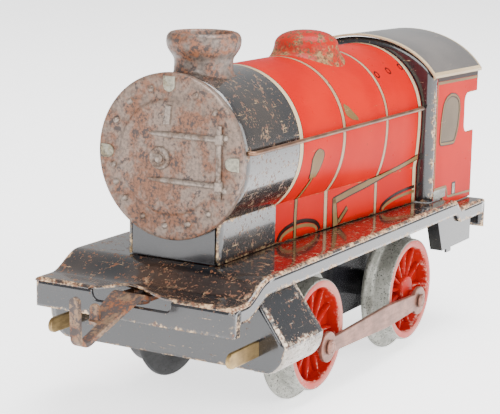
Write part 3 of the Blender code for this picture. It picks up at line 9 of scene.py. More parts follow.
import json
import logging
from dataclasses import dataclass
from enum import Enum
from functools import reduce
from operator import add
from typing import Optional, Sequence, Union

import bmesh
import bpy
import numpy as np
from mathutils import Matrix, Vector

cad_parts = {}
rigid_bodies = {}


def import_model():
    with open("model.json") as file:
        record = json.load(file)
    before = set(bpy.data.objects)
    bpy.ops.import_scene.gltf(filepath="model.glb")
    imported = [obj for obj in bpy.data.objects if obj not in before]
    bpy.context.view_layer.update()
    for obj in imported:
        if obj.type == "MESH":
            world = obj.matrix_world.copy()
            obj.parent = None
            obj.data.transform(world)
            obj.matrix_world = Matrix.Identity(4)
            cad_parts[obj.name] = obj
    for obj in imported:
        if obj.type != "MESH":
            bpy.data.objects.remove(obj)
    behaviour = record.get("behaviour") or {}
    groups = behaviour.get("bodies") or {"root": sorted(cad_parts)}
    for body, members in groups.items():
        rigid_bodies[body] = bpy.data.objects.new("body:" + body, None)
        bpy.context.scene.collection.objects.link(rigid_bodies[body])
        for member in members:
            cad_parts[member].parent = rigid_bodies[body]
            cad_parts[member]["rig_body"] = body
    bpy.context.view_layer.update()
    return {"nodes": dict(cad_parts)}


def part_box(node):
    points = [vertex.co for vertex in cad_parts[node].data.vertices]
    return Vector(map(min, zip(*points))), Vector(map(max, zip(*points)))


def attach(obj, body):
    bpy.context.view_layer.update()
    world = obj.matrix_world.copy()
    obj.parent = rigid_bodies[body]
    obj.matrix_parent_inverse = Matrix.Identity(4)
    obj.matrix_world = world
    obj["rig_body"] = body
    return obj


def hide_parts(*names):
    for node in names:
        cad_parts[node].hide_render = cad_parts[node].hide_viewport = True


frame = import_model()

LOG = logging.getLogger("engine")
DATUM_X = 46.439
MILLIMETRE = 0.001
FAR_FROM_EDGE = 9.0
FLOAT_LIFT = 0.035
QUARTER = np.linspace(0.0, np.pi / 2, 7)
BARREL_RADIUS = 15.7
BARREL_AXIS_Z = 52.096
AXLE_Z = 14.046
REAR_AXLE_X = -71.3
CRANK_THROW = 3.9
CRANK_ANGLES = (230.0, 140.0)
STEP_X = (-91.0, -94.5)

Array = np.ndarray
Colour = tuple[float, float, float]


class Axis(Enum):
    """Direction that a shape's own z axis is laid along, with how far its coordinates roll for that."""

    Z = 0
    X = 1
    Y = 2


class Side(Enum):
    """The engine's two sides, with the sign of y there."""

    LEFT = 1
    RIGHT = -1

    @property
    def word(self) -> str:
        """Name of the side as it stands in piece names."""
        return self.name.lower()


def ease(share: Union[float, Array]) -> Array:
    """Level start, level end: half a cosine wave from 0 to 1 over shares 0 to 1."""
    return (1 - np.cos(np.pi * np.clip(share, 0.0, 1.0))) / 2


def unit(rows: Array) -> Array:
    """Vectors of length 1 along the given ones."""
    return rows / np.linalg.norm(rows, axis=-1, keepdims=True)


def arc(centre: Sequence[float], radius: float, start: float, end: float, count: int = 9) -> Array:
    """Points of a circular arc in a plane.

    Args:
        centre: Middle of the circle.
        radius: Its radius.
        start: First angle in degrees.
        end: Last angle in degrees.
        count: Number of points.

    Returns:
        Points as rows of two coordinates: the centre plus radius times (cos, sin) of the angle.
    """
    angle = np.radians(np.linspace(start, end, count))
    return np.asarray(centre) + radius * np.column_stack([np.cos(angle), np.sin(angle)])


def smooth_path(points: Sequence[Sequence[float]], count: int, softness: int = 5) -> Array:
    """Even samples along a broken line, with its corners softened by a moving mean that keeps both ends.

    Args:
        points: Corners of the line.
        count: Number of samples.
        softness: Width of the moving mean in samples, an odd number.

    Returns:
        Samples as rows.
    """
    corners = np.asarray(points, float)
    length = np.r_[0.0, np.cumsum(np.linalg.norm(np.diff(corners, axis=0), axis=1))]
    even = np.linspace(0.0, length[-1], count)
    line = np.column_stack([np.interp(even, length, column) for column in corners.T])
    reach = softness // 2
    before = 2 * line[0] - line[reach:0:-1]
    after = 2 * line[-1] - line[-2:-reach - 2:-1]
    padded = np.vstack([before, line, after])
    window = np.ones(softness) / softness
    return np.column_stack([np.convolve(column, window, "valid") for column in padded.T])


@dataclass
class Surface:
    """A mesh in the making.

    Attributes:
        points: Corners, one row each.
        quads: Four corner numbers a row.
        caps: Flat faces of many corners.
        finish: Number of the finish of each quad.
        cap_finish: Number of the finish of each cap.
        edge: Distance of each corner from the nearest worn edge.
    """

    points: Array
    quads: Array
    caps: list[Array]
    finish: Array
    cap_finish: list[int]
    edge: Array

    @classmethod
    def grid(cls, points: Array, finish: Union[int, Array] = 0, edge: Optional[Array] = None, close_u: bool = False,
             close_v: bool = False, keep: Optional[Array] = None, flip: bool = False) -> Surface:
        """Quads over a grid of points, which is a function of two parameters.

        Args:
            points: Array of rows by columns by three.
            finish: One finish number, or one for each quad.
            edge: Distance of each point from a worn edge.
            close_u: Whether the last row joins the first.
            close_v: Whether the last column joins the first.
            keep: Which quads stay.
            flip: Whether the faces are turned over.

        Returns:
            The surface; its faces point along row direction cross column direction.
        """
        rows, columns = points.shape[:2]
        u, v = np.meshgrid(np.arange(rows - (not close_u)), np.arange(columns - (not close_v)), indexing="ij")
        after_u, after_v = (u + 1) % rows, (v + 1) % columns
        corners = [u * columns + v, after_u * columns + v, after_u * columns + after_v, u * columns + after_v]
        quads = np.stack(corners[::-1] if flip else corners, axis=-1)
        chosen = np.ones(u.shape, bool) if keep is None else keep
        numbers = np.broadcast_to(np.asarray(finish), u.shape)
        depth = np.broadcast_to(FAR_FROM_EDGE if edge is None else edge, (rows, columns))
        return cls(points.reshape(-1, 3), quads[chosen], [], numbers[chosen], [], depth.reshape(-1).astype(float))

    @classmethod
    def capped(cls, points: Array, finish: int = 0, edge: Optional[Array] = None) -> Surface:
        """Rows of points closed into rings, with a flat face over the first ring and over the last."""
        rows, columns = points.shape[:2]
        body = cls.grid(points, finish, edge, close_v=True)
        body.caps = [np.arange(columns), np.arange(columns) + columns * (rows - 1)]
        body.cap_finish = [finish, finish]
        return body

    @classmethod
    def revolved(cls, profile: Array, sides: int = 64, finish: Union[int, Array] = 0,
                 edge: Optional[Array] = None) -> Surface:
        """A profile turned about z: each point (r, z) goes round as (r cos a, r sin a, z).

        Args:
            profile: Rows of radius and height, from the bottom up the outside.
            sides: Number of facets.
            finish: One finish number, or one for each step of the profile.
            edge: Distance of each profile point from a worn edge.

        Returns:
            The surface, with its poles still to be merged.
        """
        angle = np.linspace(0.0, 2 * np.pi, sides, endpoint=False)[:, None]
        radius, height = np.asarray(profile, float).T
        points = np.stack([np.cos(angle) * radius, np.sin(angle) * radius, height + 0 * angle], axis=-1)
        return cls.grid(points, finish, edge, close_u=True)

    @classmethod
    def tube(cls, path: Array, radius: Union[float, Array], sides: int = 14, reference: Colour = (0.0, 0.0, 1.0),
             finish: int = 0) -> Surface:
        """A circle carried along a path, square to it, with flat ends.

        Args:
            path: Rows of three coordinates.
            radius: Radius, or one for each point of the path.
            sides: Number of facets.
            reference: A direction that the path never takes.
            finish: Finish number.

        Returns:
            The closed surface.
        """
        ahead = unit(np.gradient(path, axis=0))
        across = unit(np.cross(ahead, reference))
        up = np.cross(across, ahead)
        angle = np.linspace(0.0, 2 * np.pi, sides, endpoint=False)[None, :, None]
        wide = np.broadcast_to(radius, len(path))[:, None, None]
        points = path[:, None] + wide * (np.cos(angle) * across[:, None] + np.sin(angle) * up[:, None])
        return cls.capped(points, finish)

    @classmethod
    def slab(cls, outline: Array, low: float, high: float, bevel: float = 0.12, margin: float = 0.7,
             finish: int = 0) -> Surface:
        """A flat plate in the xy plane from low to high, its edges rounded by a quarter circle.

        Args:
            outline: Corners in order round the plate.
            low: Height of the lower face.
            high: Height of the upper face.
            bevel: Radius of the rounded edges.
            margin: Width of the strip inside the edge that wear may reach.
            finish: Finish number.

        Returns:
            The closed surface. Each row is the outline moved in along its own mitred corners.
        """
        ring = np.asarray(outline, float)
        ahead = np.roll(ring, -1, axis=0) - ring
        ahead /= np.maximum(np.linalg.norm(ahead, axis=1, keepdims=True), 1e-9)
        turn = np.sign(np.sum(ring[:, 0] * np.roll(ring[:, 1], -1) - ring[:, 1] * np.roll(ring[:, 0], -1)))
        inward = turn * np.column_stack([-ahead[:, 1], ahead[:, 0]])
        mitre = inward + np.roll(inward, 1, axis=0)
        mitre /= np.maximum(np.linalg.norm(mitre, axis=1, keepdims=True), 1e-9)
        mitre /= np.maximum(np.sum(mitre * inward, axis=1, keepdims=True), 0.45)
        inset = np.r_[margin, bevel * (1 - np.sin(QUARTER)), bevel * (1 - np.sin(QUARTER[::-1])), margin]
        rise = bevel * (1 - np.cos(QUARTER))
        height = np.r_[low, low + rise, high - rise[::-1], high]
        plan = ring[None] + inset[:, None, None] * mitre[None]
        level = np.broadcast_to(height[:, None, None], (*plan.shape[:2], 1))
        return cls.capped(np.concatenate([plan, level], axis=2), finish, inset[:, None])

    def __add__(self, other: Surface) -> Surface:
        """Both surfaces as one."""
        shift = len(self.points)
        return Surface(np.vstack([self.points, other.points]), np.vstack([self.quads, other.quads + shift]),
                       self.caps + [cap + shift for cap in other.caps], np.r_[self.finish, other.finish],
                       self.cap_finish + other.cap_finish, np.r_[self.edge, other.edge])

    def with_points(self, points: Array) -> Surface:
        """The same faces on other points."""
        return Surface(points, self.quads, self.caps, self.finish, self.cap_finish, self.edge)

    def along(self, axis: Axis) -> Surface:
        """The shape with its z axis laid along another axis."""
        return self.with_points(np.roll(self.points, axis.value, axis=1))

    def upright(self) -> Surface:
        """A shape drawn in x and y stood up, so that its y is height and its z goes across the engine."""
        return self.with_points(self.points[:, [0, 2, 1]]).reversed()

    def reversed(self) -> Surface:
        """The shape with its faces turned over."""
        return Surface(self.points, self.quads[:, ::-1], [cap[::-1] for cap in self.caps], self.finish,
                       self.cap_finish, self.edge)

    def moved(self, x: float = 0.0, y: float = 0.0, z: float = 0.0) -> Surface:
        """The shape shifted."""
        return self.with_points(self.points + [x, y, z])

    def swung(self, degrees: float) -> Surface:
        """The shape turned in the xz plane, from +x towards +z."""
        c, s = np.cos(np.radians(degrees)), np.sin(np.radians(degrees))
        return self.with_points(self.points @ np.array([[c, 0, s], [0, 1, 0], [-s, 0, c]]))

    def on(self, side: Side) -> Surface:
        """The shape as it is for the left side, mirrored for the right one."""
        return self if side is Side.LEFT else self.with_points(self.points * [1, -1, 1]).reversed()


def joined(shapes: Sequence[Surface]) -> Surface:
    """All the shapes as one."""
    return reduce(add, shapes)


class Value:
    """A socket that takes part in arithmetic; each operation adds a Math node."""

    def __init__(self, paint: Paint, socket: bpy.types.NodeSocket) -> None:
        """Wrap a socket of a paint's node tree."""
        self.paint = paint
        self.socket = socket

    def _math(self, operation: str, first: Union[Value, float], second: Union[Value, float]) -> Value:
        """Add one Math node."""
        return self.paint.node("ShaderNodeMath", {"operation": operation}, {0: first, 1: second})

    def __add__(self, other: Union[Value, float]) -> Value:
        """Sum."""
        return self._math("ADD", self, other)

    def __sub__(self, other: Union[Value, float]) -> Value:
        """Difference."""
        return self._math("SUBTRACT", self, other)

    def __rsub__(self, other: float) -> Value:
        """Difference from a number."""
        return self._math("SUBTRACT", other, self)

    def __mul__(self, other: Union[Value, float]) -> Value:
        """Product."""
        return self._math("MULTIPLY", self, other)

    __radd__ = __add__
    __rmul__ = __mul__

    def __or__(self, other: Union[Value, float]) -> Value:
        """The larger of two masks."""
        return self._math("MAXIMUM", self, other)

    def between(self, low: float, high: float) -> Value:
        """0 at low and 1 at high with a smooth step between, also where low is the larger number."""
        return self.paint.node("ShaderNodeMapRange", {"interpolation_type": "SMOOTHSTEP"},
                               {0: self, 1: low, 2: high})


class Paint:
    """The node tree of one material."""

    def __init__(self, name: str) -> None:
        """Start a material with only its shader and output."""
        self.material = bpy.data.materials.new(name)
        self.material.use_nodes = True
        self.tree = self.material.node_tree
        self.shader = self.tree.nodes["Principled BSDF"]
        coordinates = self.node("ShaderNodeTexCoord", output=3)
        self.place = self.node("ShaderNodeMapping", {}, {"Vector": coordinates, "Scale": (1000.0, 1000.0, 1000.0)})

    def node(self, kind: str, settings: Optional[dict] = None, inputs: Optional[dict] = None,
             output: int = 0) -> Value:
        """Add any node.

        Args:
            kind: Node type.
            settings: Properties, set before the sockets.
            inputs: Values or links by socket name or number.
            output: Number of the output that is wanted.

        Returns:
            That output.
        """
        made = self.tree.nodes.new(kind)
        for name, setting in (settings or {}).items():
            setattr(made, name, setting)
        for key, entry in (inputs or {}).items():
            self.feed(made.inputs[key], entry)
        return Value(self, made.outputs[output])

    def feed(self, socket: bpy.types.NodeSocket, entry: Union[Value, float, Sequence[float]]) -> None:
        """Link a value to a socket, or set the socket to a number or colour."""
        if isinstance(entry, Value):
            self.tree.links.new(entry.socket, socket)
        elif socket.type == "RGBA":
            socket.default_value = (*entry, 1.0)
        else:
            socket.default_value = entry

    def noise(self, scale: float, detail: float = 3.0, roughness: float = 0.5,
              stretch: Optional[Colour] = None, turn: Colour = (0.0, 0.0, 0.0)) -> Value:
        """Cloudy values round 0.5; scale is in features per millimetre, stretch scales the three axes."""
        place = self.place
        if stretch:
            place = self.node("ShaderNodeMapping", {}, {"Vector": place, "Scale": stretch, "Rotation": turn})
        return self.node("ShaderNodeTexNoise", {}, {"Vector": place, "Scale": scale, "Detail": detail,
                                                    "Roughness": roughness})

    def mix(self, share: Union[Value, float], first: Union[Value, Colour], second: Union[Value, Colour]) -> Value:
        """Colour between two others."""
        return self.node("ShaderNodeMix", {"data_type": "RGBA"}, {0: share, 6: first, 7: second}, output=2)

    def edge(self) -> Value:
        """Distance from the nearest worn edge in millimetres."""
        return self.node("ShaderNodeAttribute", {"attribute_name": "edge"}, output=2)

    def dress(self, **sockets: Union[Value, float, Colour]) -> bpy.types.Material:
        """Feed the shader's sockets, named with underscores for spaces, and return the material."""
        for name, entry in sockets.items():
            self.feed(self.shader.inputs[name.replace("_", " ")], entry)
        return self.material

    def bump(self, height: Value, strength: float, depth: float = 0.1) -> Value:
        """Normal bent by a height, depth in millimetres."""
        return self.node("ShaderNodeBump", {}, {"Strength": strength, "Distance": depth * MILLIMETRE,
                                                "Height": height})


@dataclass(frozen=True)
class Enamel:
    """Stoved enamel or printed ink on tin, freckled, scratched and worn through along its edges.

    Attributes:
        name: Name of the material.
        colour: Sound paint.
        faded: Tone it drifts to in broad patches.
        bare: What shows where the paint has gone.
        rust: Stain in the bare places.
        freckles: How thick the small chips lie, 0 to 1.
        edge_wear: How far wear reaches in from an edge, in millimetres; 0 for none.
        scratches: How many fine scratches, 0 to 1.
        gloss: Roughness of the sound paint.
        coat: Weight of the clear coat.
        shine: Specular level under the coat.
    """

    name: str
    colour: Colour
    faded: Colour
    bare: Colour = (0.50, 0.36, 0.22)
    rust: Colour = (0.10, 0.045, 0.025)
    freckles: float = 0.3
    edge_wear: float = 0.3
    scratches: float = 0.25
    gloss: float = 0.2
    coat: float = 0.5
    shine: float = 0.5

    def material(self) -> bpy.types.Material:
        """Node material: chips are the peaks of two noises, edge wear a frayed limit on the edge distance."""
        paint = Paint(self.name)
        cloud = paint.noise(0.06, 3)
        grain = paint.noise(0.5, 5, 0.62)
        fleck = paint.noise(1.7, 3)
        smear = paint.noise(0.35, 4, 0.6)
        start = 0.72 - 0.12 * self.freckles
        chip = (grain * 0.5 + fleck * 0.5).between(start, start + 0.03)
        limit = 0.735 - 0.07 * self.scratches
        one_way = paint.noise(1.0, 2, 0.5, (0.10, 2.6, 2.6), (0.3, 0.5, 0.2))
        other_way = paint.noise(1.0, 2, 0.5, (2.2, 0.12, 2.2), (0.7, 0.1, 0.9))
        scratch = (one_way | other_way).between(limit, limit + 0.03) * grain.between(0.45, 0.6)
        worn = chip | scratch * 0.7
        if self.edge_wear:
            frayed = paint.edge() + (grain - 0.5) * (5.0 * self.edge_wear)
            worn = worn | frayed.between(self.edge_wear, 0.2 * self.edge_wear) * smear.between(0.40, 0.55)
        sound = paint.mix(cloud.between(0.36, 0.66), self.colour, self.faded)
        under = paint.mix(fleck.between(0.42, 0.6), self.bare, self.rust)
        return paint.dress(
            Base_Color=paint.mix(worn, sound, under),
            Roughness=smear * 0.14 + worn * 0.28 + (self.gloss - 0.07),
            Coat_Weight=(1 - worn) * self.coat,
            Coat_Roughness=0.08,
            Specular_IOR_Level=self.shine,
            Normal=paint.bump(grain * 0.25 + fleck * 0.12 - worn * 0.7, 0.22),
        )


@dataclass(frozen=True)
class RustedTin:
    """Tin whose paint and plating have gone: grey metal, brown rust and black remains in patches.

    Attributes:
        name: Name of the material.
        light: Clean metal.
        rust: Brown rust.
        dark: Black remains.
        rusting: Share of rust, 0 to 1.
        darkness: Share of black remains, 0 to 1.
        metal: How metallic the clean places are.
    """

    name: str
    light: Colour = (0.36, 0.29, 0.23)
    rust: Colour = (0.26, 0.11, 0.05)
    dark: Colour = (0.035, 0.022, 0.018)
    rusting: float = 0.5
    darkness: float = 0.3
    metal: float = 0.45

    def material(self) -> bpy.types.Material:
        """Node material: broad clouds part metal from rust, fine ones set black specks into both."""
        paint = Paint(self.name)
        cloud = paint.noise(0.12, 4, 0.6)
        grain = paint.noise(0.42, 6, 0.65)
        fleck = paint.noise(1.6, 4, 0.6)
        middle = 0.62 - 0.24 * self.rusting
        rusty = (cloud * 0.5 + grain * 0.5).between(middle - 0.05, middle + 0.06)
        floor = 0.70 - 0.22 * self.darkness
        black = (grain * 0.6 + fleck * 0.4).between(floor, floor + 0.05)
        bright = paint.mix(fleck.between(0.35, 0.68), self.light, tuple(0.55 * part for part in self.light))
        stained = paint.mix(fleck.between(0.38, 0.66), self.rust, tuple(0.42 * part for part in self.rust))
        base = paint.mix(rusty, bright, stained)
        return paint.dress(
            Base_Color=paint.mix(black, base, self.dark),
            Metallic=(1 - rusty) * (1 - black) * self.metal,
            Roughness=rusty * 0.22 + fleck * 0.18 + 0.30,
            Normal=paint.bump(grain * 0.5 + fleck * 0.4 - black * 0.3, 0.35),
        )


@dataclass(frozen=True)
class BareMetal:
    """Metal that was never painted, dulled and specked.

    Attributes:
        name: Name of the material.
        bright: Polished tone.
        dull: Tarnished tone.
        specks: Share of dark specks, 0 to 1.
        metal: How metallic it is.
        roughness: Mean roughness.
    """

    name: str
    bright: Colour = (0.60, 0.57, 0.54)
    dull: Colour = (0.30, 0.27, 0.25)
    specks: float = 0.3
    metal: float = 0.9
    roughness: float = 0.33

    def material(self) -> bpy.types.Material:
        """Node material: clouds mix bright and dull, fine noise sets dark specks, streaks vary the gloss."""
        paint = Paint(self.name)
        cloud = paint.noise(0.25, 5, 0.6)
        fleck = paint.noise(2.4, 3, 0.6)
        streak = paint.noise(1.0, 3, 0.5, (0.4, 2.0, 2.0))
        floor = 0.74 - 0.16 * self.specks
        speck = fleck.between(floor, floor + 0.05)
        tone = paint.mix((cloud * 0.7 + streak * 0.3).between(0.36, 0.64), self.bright, self.dull)
        return paint.dress(
            Base_Color=paint.mix(speck, tone, tuple(0.22 * part for part in self.dull)),
            Metallic=(1 - speck * 0.6) * self.metal,
            Roughness=streak * 0.2 + speck * 0.3 + (self.roughness - 0.1),
            Normal=paint.bump(fleck * 0.4 + streak * 0.3, 0.2),
        )


@dataclass(frozen=True)
class FloorPaper:
    """Plain pale studio paper."""

    name: str = "floor_paper"
    tone: Colour = (0.86, 0.86, 0.865)
    glow: float = 2.0

    def material(self) -> bpy.types.Material:
        """Node material: a faint cloud of tone and roughness."""
        paint = Paint(self.name)
        cloud = paint.noise(0.02, 3)
        darker = tuple(0.985 * part for part in self.tone)
        return paint.dress(Base_Color=paint.mix(cloud, self.tone, darker), Roughness=cloud * 0.1 + 0.6,
                           Emission_Color=self.tone, Emission_Strength=self.glow)


Finish = Union[Enamel, RustedTin, BareMetal, FloorPaper]


class Palette:
    """Every finish of the engine, each made into a material once."""

    RED = Enamel("red_enamel_worn", (0.37, 0.003, 0.001), (0.43, 0.008, 0.003), bare=(0.26, 0.17, 0.08), freckles=0.6,
                 edge_wear=0.3, coat=0.0, shine=0.025, gloss=0.3)
    BLACK = Enamel("black_enamel_worn", (0.006, 0.007, 0.009), (0.013, 0.012, 0.013), bare=(0.50, 0.35, 0.21),
                   freckles=0.75, edge_wear=0.6, scratches=0.7, gloss=0.2, coat=0.75, shine=0.45)
    CYLINDER = Enamel("cylinder_black", (0.006, 0.007, 0.009), (0.013, 0.012, 0.013), bare=(0.56, 0.46, 0.35),
                      freckles=1.2, edge_wear=1.0, scratches=0.9, gloss=0.2, coat=0.75, shine=0.45)
    ROOF = Enamel("roof_black", (0.060, 0.053, 0.050), (0.10, 0.086, 0.078), freckles=0.5, edge_wear=0.5, gloss=0.22,
                  coat=0.8)
    FOOTPLATE = Enamel("footplate_black", (0.007, 0.007, 0.008), (0.030, 0.018, 0.013), bare=(0.48, 0.31, 0.17),
                       rust=(0.12, 0.045, 0.020), freckles=1.3, edge_wear=0.9, scratches=1.0, gloss=0.2, coat=0.85)
    SMOKEBOX = Enamel("smokebox_black", (0.006, 0.006, 0.007), (0.020, 0.015, 0.012), bare=(0.48, 0.33, 0.17),
                      freckles=1.35, edge_wear=0.6, scratches=1.0, gloss=0.2, coat=0.85)
    BLACK_PLAIN = Enamel("black_enamel_hidden", (0.010, 0.010, 0.012), (0.017, 0.016, 0.016), edge_wear=0.0)
    CREAM = Enamel("cream_print", (0.44, 0.34, 0.21), (0.36, 0.26, 0.15), bare=(0.14, 0.07, 0.035), freckles=0.6,
                   edge_wear=0.0, coat=0.03, shine=0.08)
    DULL_CREAM = Enamel("dull_cream_print", (0.33, 0.22, 0.13), (0.27, 0.16, 0.09), bare=(0.10, 0.045, 0.022),
                        freckles=0.8, edge_wear=0.0, coat=0.03, shine=0.08)
    GOLD = Enamel("gold_print", (0.17, 0.105, 0.042), (0.125, 0.072, 0.028), bare=(0.25, 0.17, 0.08), freckles=0.6,
                  edge_wear=0.0, coat=0.0, shine=0.06)
    OUTLINE = Enamel("dark_print", (0.012, 0.004, 0.003), (0.022, 0.006, 0.004), freckles=0.35, edge_wear=0.0, coat=0.0,
                     shine=0.06)
    GLASS_PRINT = Enamel("window_print", (0.085, 0.060, 0.037), (0.12, 0.088, 0.054), bare=(0.24, 0.18, 0.11),
                         freckles=0.8, edge_wear=0.0, coat=0.0, shine=0.06)
    WHEEL_RED = Enamel("wheel_red", (0.26, 0.003, 0.001), (0.30, 0.008, 0.004), bare=(0.52, 0.24, 0.19),
                       rust=(0.26, 0.05, 0.03), freckles=0.4, edge_wear=0.3, gloss=0.4, coat=0.0, shine=0.08)
    RIM_WORN = Enamel("wheel_rim_worn", (0.36, 0.045, 0.035), (0.38, 0.13, 0.10), bare=(0.46, 0.40, 0.36),
                      rust=(0.40, 0.24, 0.20), freckles=1.2, edge_wear=0.0, gloss=0.4, coat=0.0, shine=0.15)
    DOME_RED = Enamel("dome_red_worn", (0.32, 0.005, 0.002), (0.28, 0.025, 0.010), bare=(0.24, 0.15, 0.065),
                      freckles=1.7, edge_wear=1.5, gloss=0.34, coat=0.05, shine=0.1)
    CHIMNEY_TIN = RustedTin("chimney_tin", (0.15, 0.115, 0.095), (0.19, 0.066, 0.026), rusting=0.55, darkness=0.8,
                            metal=0.35)
    DISC_TIN = RustedTin("smokebox_front_tin", (0.19, 0.135, 0.105), (0.16, 0.064, 0.030), rusting=0.45, darkness=0.75,
                         metal=0.3)
    STRAP_TIN = RustedTin("strap_tin", (0.25, 0.20, 0.165), (0.12, 0.07, 0.045), rusting=0.35, darkness=0.6, metal=0.4)
    HOOK_TIN = RustedTin("hook_tin", (0.20, 0.125, 0.075), (0.15, 0.042, 0.009), rusting=0.55, darkness=1.0, metal=0.4)
    TAB_TIN = RustedTin("tab_tin", (0.28, 0.26, 0.20), (0.17, 0.13, 0.07), rusting=0.3, darkness=0.6, metal=0.3)
    CURL = BareMetal("curl_metal", (0.44, 0.41, 0.37), (0.25, 0.215, 0.18), specks=1.0, metal=0.5, roughness=0.4)
    TREAD = BareMetal("tread_metal", (0.30, 0.30, 0.265), (0.17, 0.17, 0.145), specks=1.0, metal=0.4, roughness=0.45)
    # Near-black tread for the right (far) wheels: painted shade standing in for the shadow those wheels sit in, not
    # grime.
    GRIME = BareMetal("tread_grime", (0.014, 0.014, 0.015), (0.008, 0.008, 0.008), specks=0.8, metal=0.0, roughness=0.6)
    ROD_STEEL = BareMetal("rod_steel", (0.27, 0.135, 0.098), (0.15, 0.075, 0.054), specks=0.6, metal=0.6,
                          roughness=0.42)
    RAIL_WIRE = BareMetal("handrail_wire", (0.24, 0.13, 0.075), (0.11, 0.055, 0.032), specks=0.6, metal=0.7)
    BRASS = BareMetal("strip_brass", (0.38, 0.26, 0.11), (0.20, 0.13, 0.055), specks=0.5, metal=0.75, roughness=0.42)
    GEAR_BRASS = BareMetal("gear_brass", (0.62, 0.45, 0.18), (0.36, 0.25, 0.10), specks=0.3)
    STEEL = BareMetal("bright_steel", (0.55, 0.54, 0.53), (0.32, 0.30, 0.29), specks=0.4)
    SPRING = BareMetal("spring_blue_steel", (0.22, 0.25, 0.32), (0.12, 0.12, 0.14), specks=0.3, roughness=0.28)

    made: dict[str, bpy.types.Material] = {}

    @classmethod
    def of(cls, finish: Finish) -> bpy.types.Material:
        """The material of a finish, made on its first use."""
        if finish.name not in cls.made:
            cls.made[finish.name] = finish.material()
        return cls.made[finish.name]


def make_object(name: str, shape: Surface, finishes: Sequence[Finish], crease: float, closed: bool) -> bpy.types.Object:
    """Put a surface into a mesh, merge its seams and poles and shade it smooth up to a crease angle.

    Args:
        name: Name of the object.
        shape: The surface in millimetres.
        finishes: Finishes in the order of the surface's finish numbers.
        crease: Angle in degrees past which an edge stays sharp.
        closed: Whether the surface shuts in a solid, so that its faces can be turned outwards.

    Returns:
        The object, linked to the scene.
    """
    mesh = bpy.data.meshes.new(name)
    place = (shape.points + [DATUM_X, 0.0, 0.0]) * MILLIMETRE
    mesh.from_pydata(place.tolist(), [], shape.quads.tolist() + [cap.tolist() for cap in shape.caps])
    mesh.polygons.foreach_set("material_index", np.r_[shape.finish, shape.cap_finish].astype(np.int32))
    distance = mesh.attributes.new("edge", "FLOAT", "POINT")
    distance.data.foreach_set("value", shape.edge.astype(np.float32))
    for finish in finishes:
        mesh.materials.append(Palette.of(finish))
    work = bmesh.new()
    work.from_mesh(mesh)
    bmesh.ops.remove_doubles(work, verts=work.verts, dist=2e-6)
    bmesh.ops.delete(work, geom=[corner for corner in work.verts if not corner.link_faces], context="VERTS")
    if closed:
        bmesh.ops.recalc_face_normals(work, faces=work.faces)
    work.to_mesh(mesh)
    work.free()
    mesh.shade_smooth()
    mesh.set_sharp_from_angle(angle=np.radians(crease))
    made = bpy.data.objects.new(name, mesh)
    bpy.context.scene.collection.objects.link(made)
    return made


def put(name: str, shape: Surface, finishes: Sequence[Finish], body: str, nodes: Sequence[str] = (),
        wall: float = 0.0, crease: float = 35.0, closed: bool = False) -> bpy.types.Object:
    """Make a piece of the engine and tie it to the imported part.

    Args:
        name: Name of the piece.
        shape: Its surface.
        finishes: Its finishes.
        body: Body it moves with.
        nodes: Solids it stands for.
        wall: Thickness that a sheet gets inwards.
        crease: Angle in degrees past which an edge stays sharp.
        closed: Whether the surface shuts in a solid.

    Returns:
        The piece.
    """
    made = make_object(name, shape, finishes, crease, closed)
    if wall:
        solid = made.modifiers.new("wall", "SOLIDIFY")
        solid.thickness = wall * MILLIMETRE
        solid.offset = -1.0
    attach(made, body)
    if nodes:
        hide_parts(*nodes)
    LOG.info("%s: %d faces", name, len(made.data.polygons))
    return made


def restyle(finish: Finish, *nodes: str) -> None:
    """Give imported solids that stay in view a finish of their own."""
    for node in nodes:
        for holder in frame["nodes"][node].material_slots:
            holder.material = Palette.of(finish)
        LOG.info("%s: restyled", node)


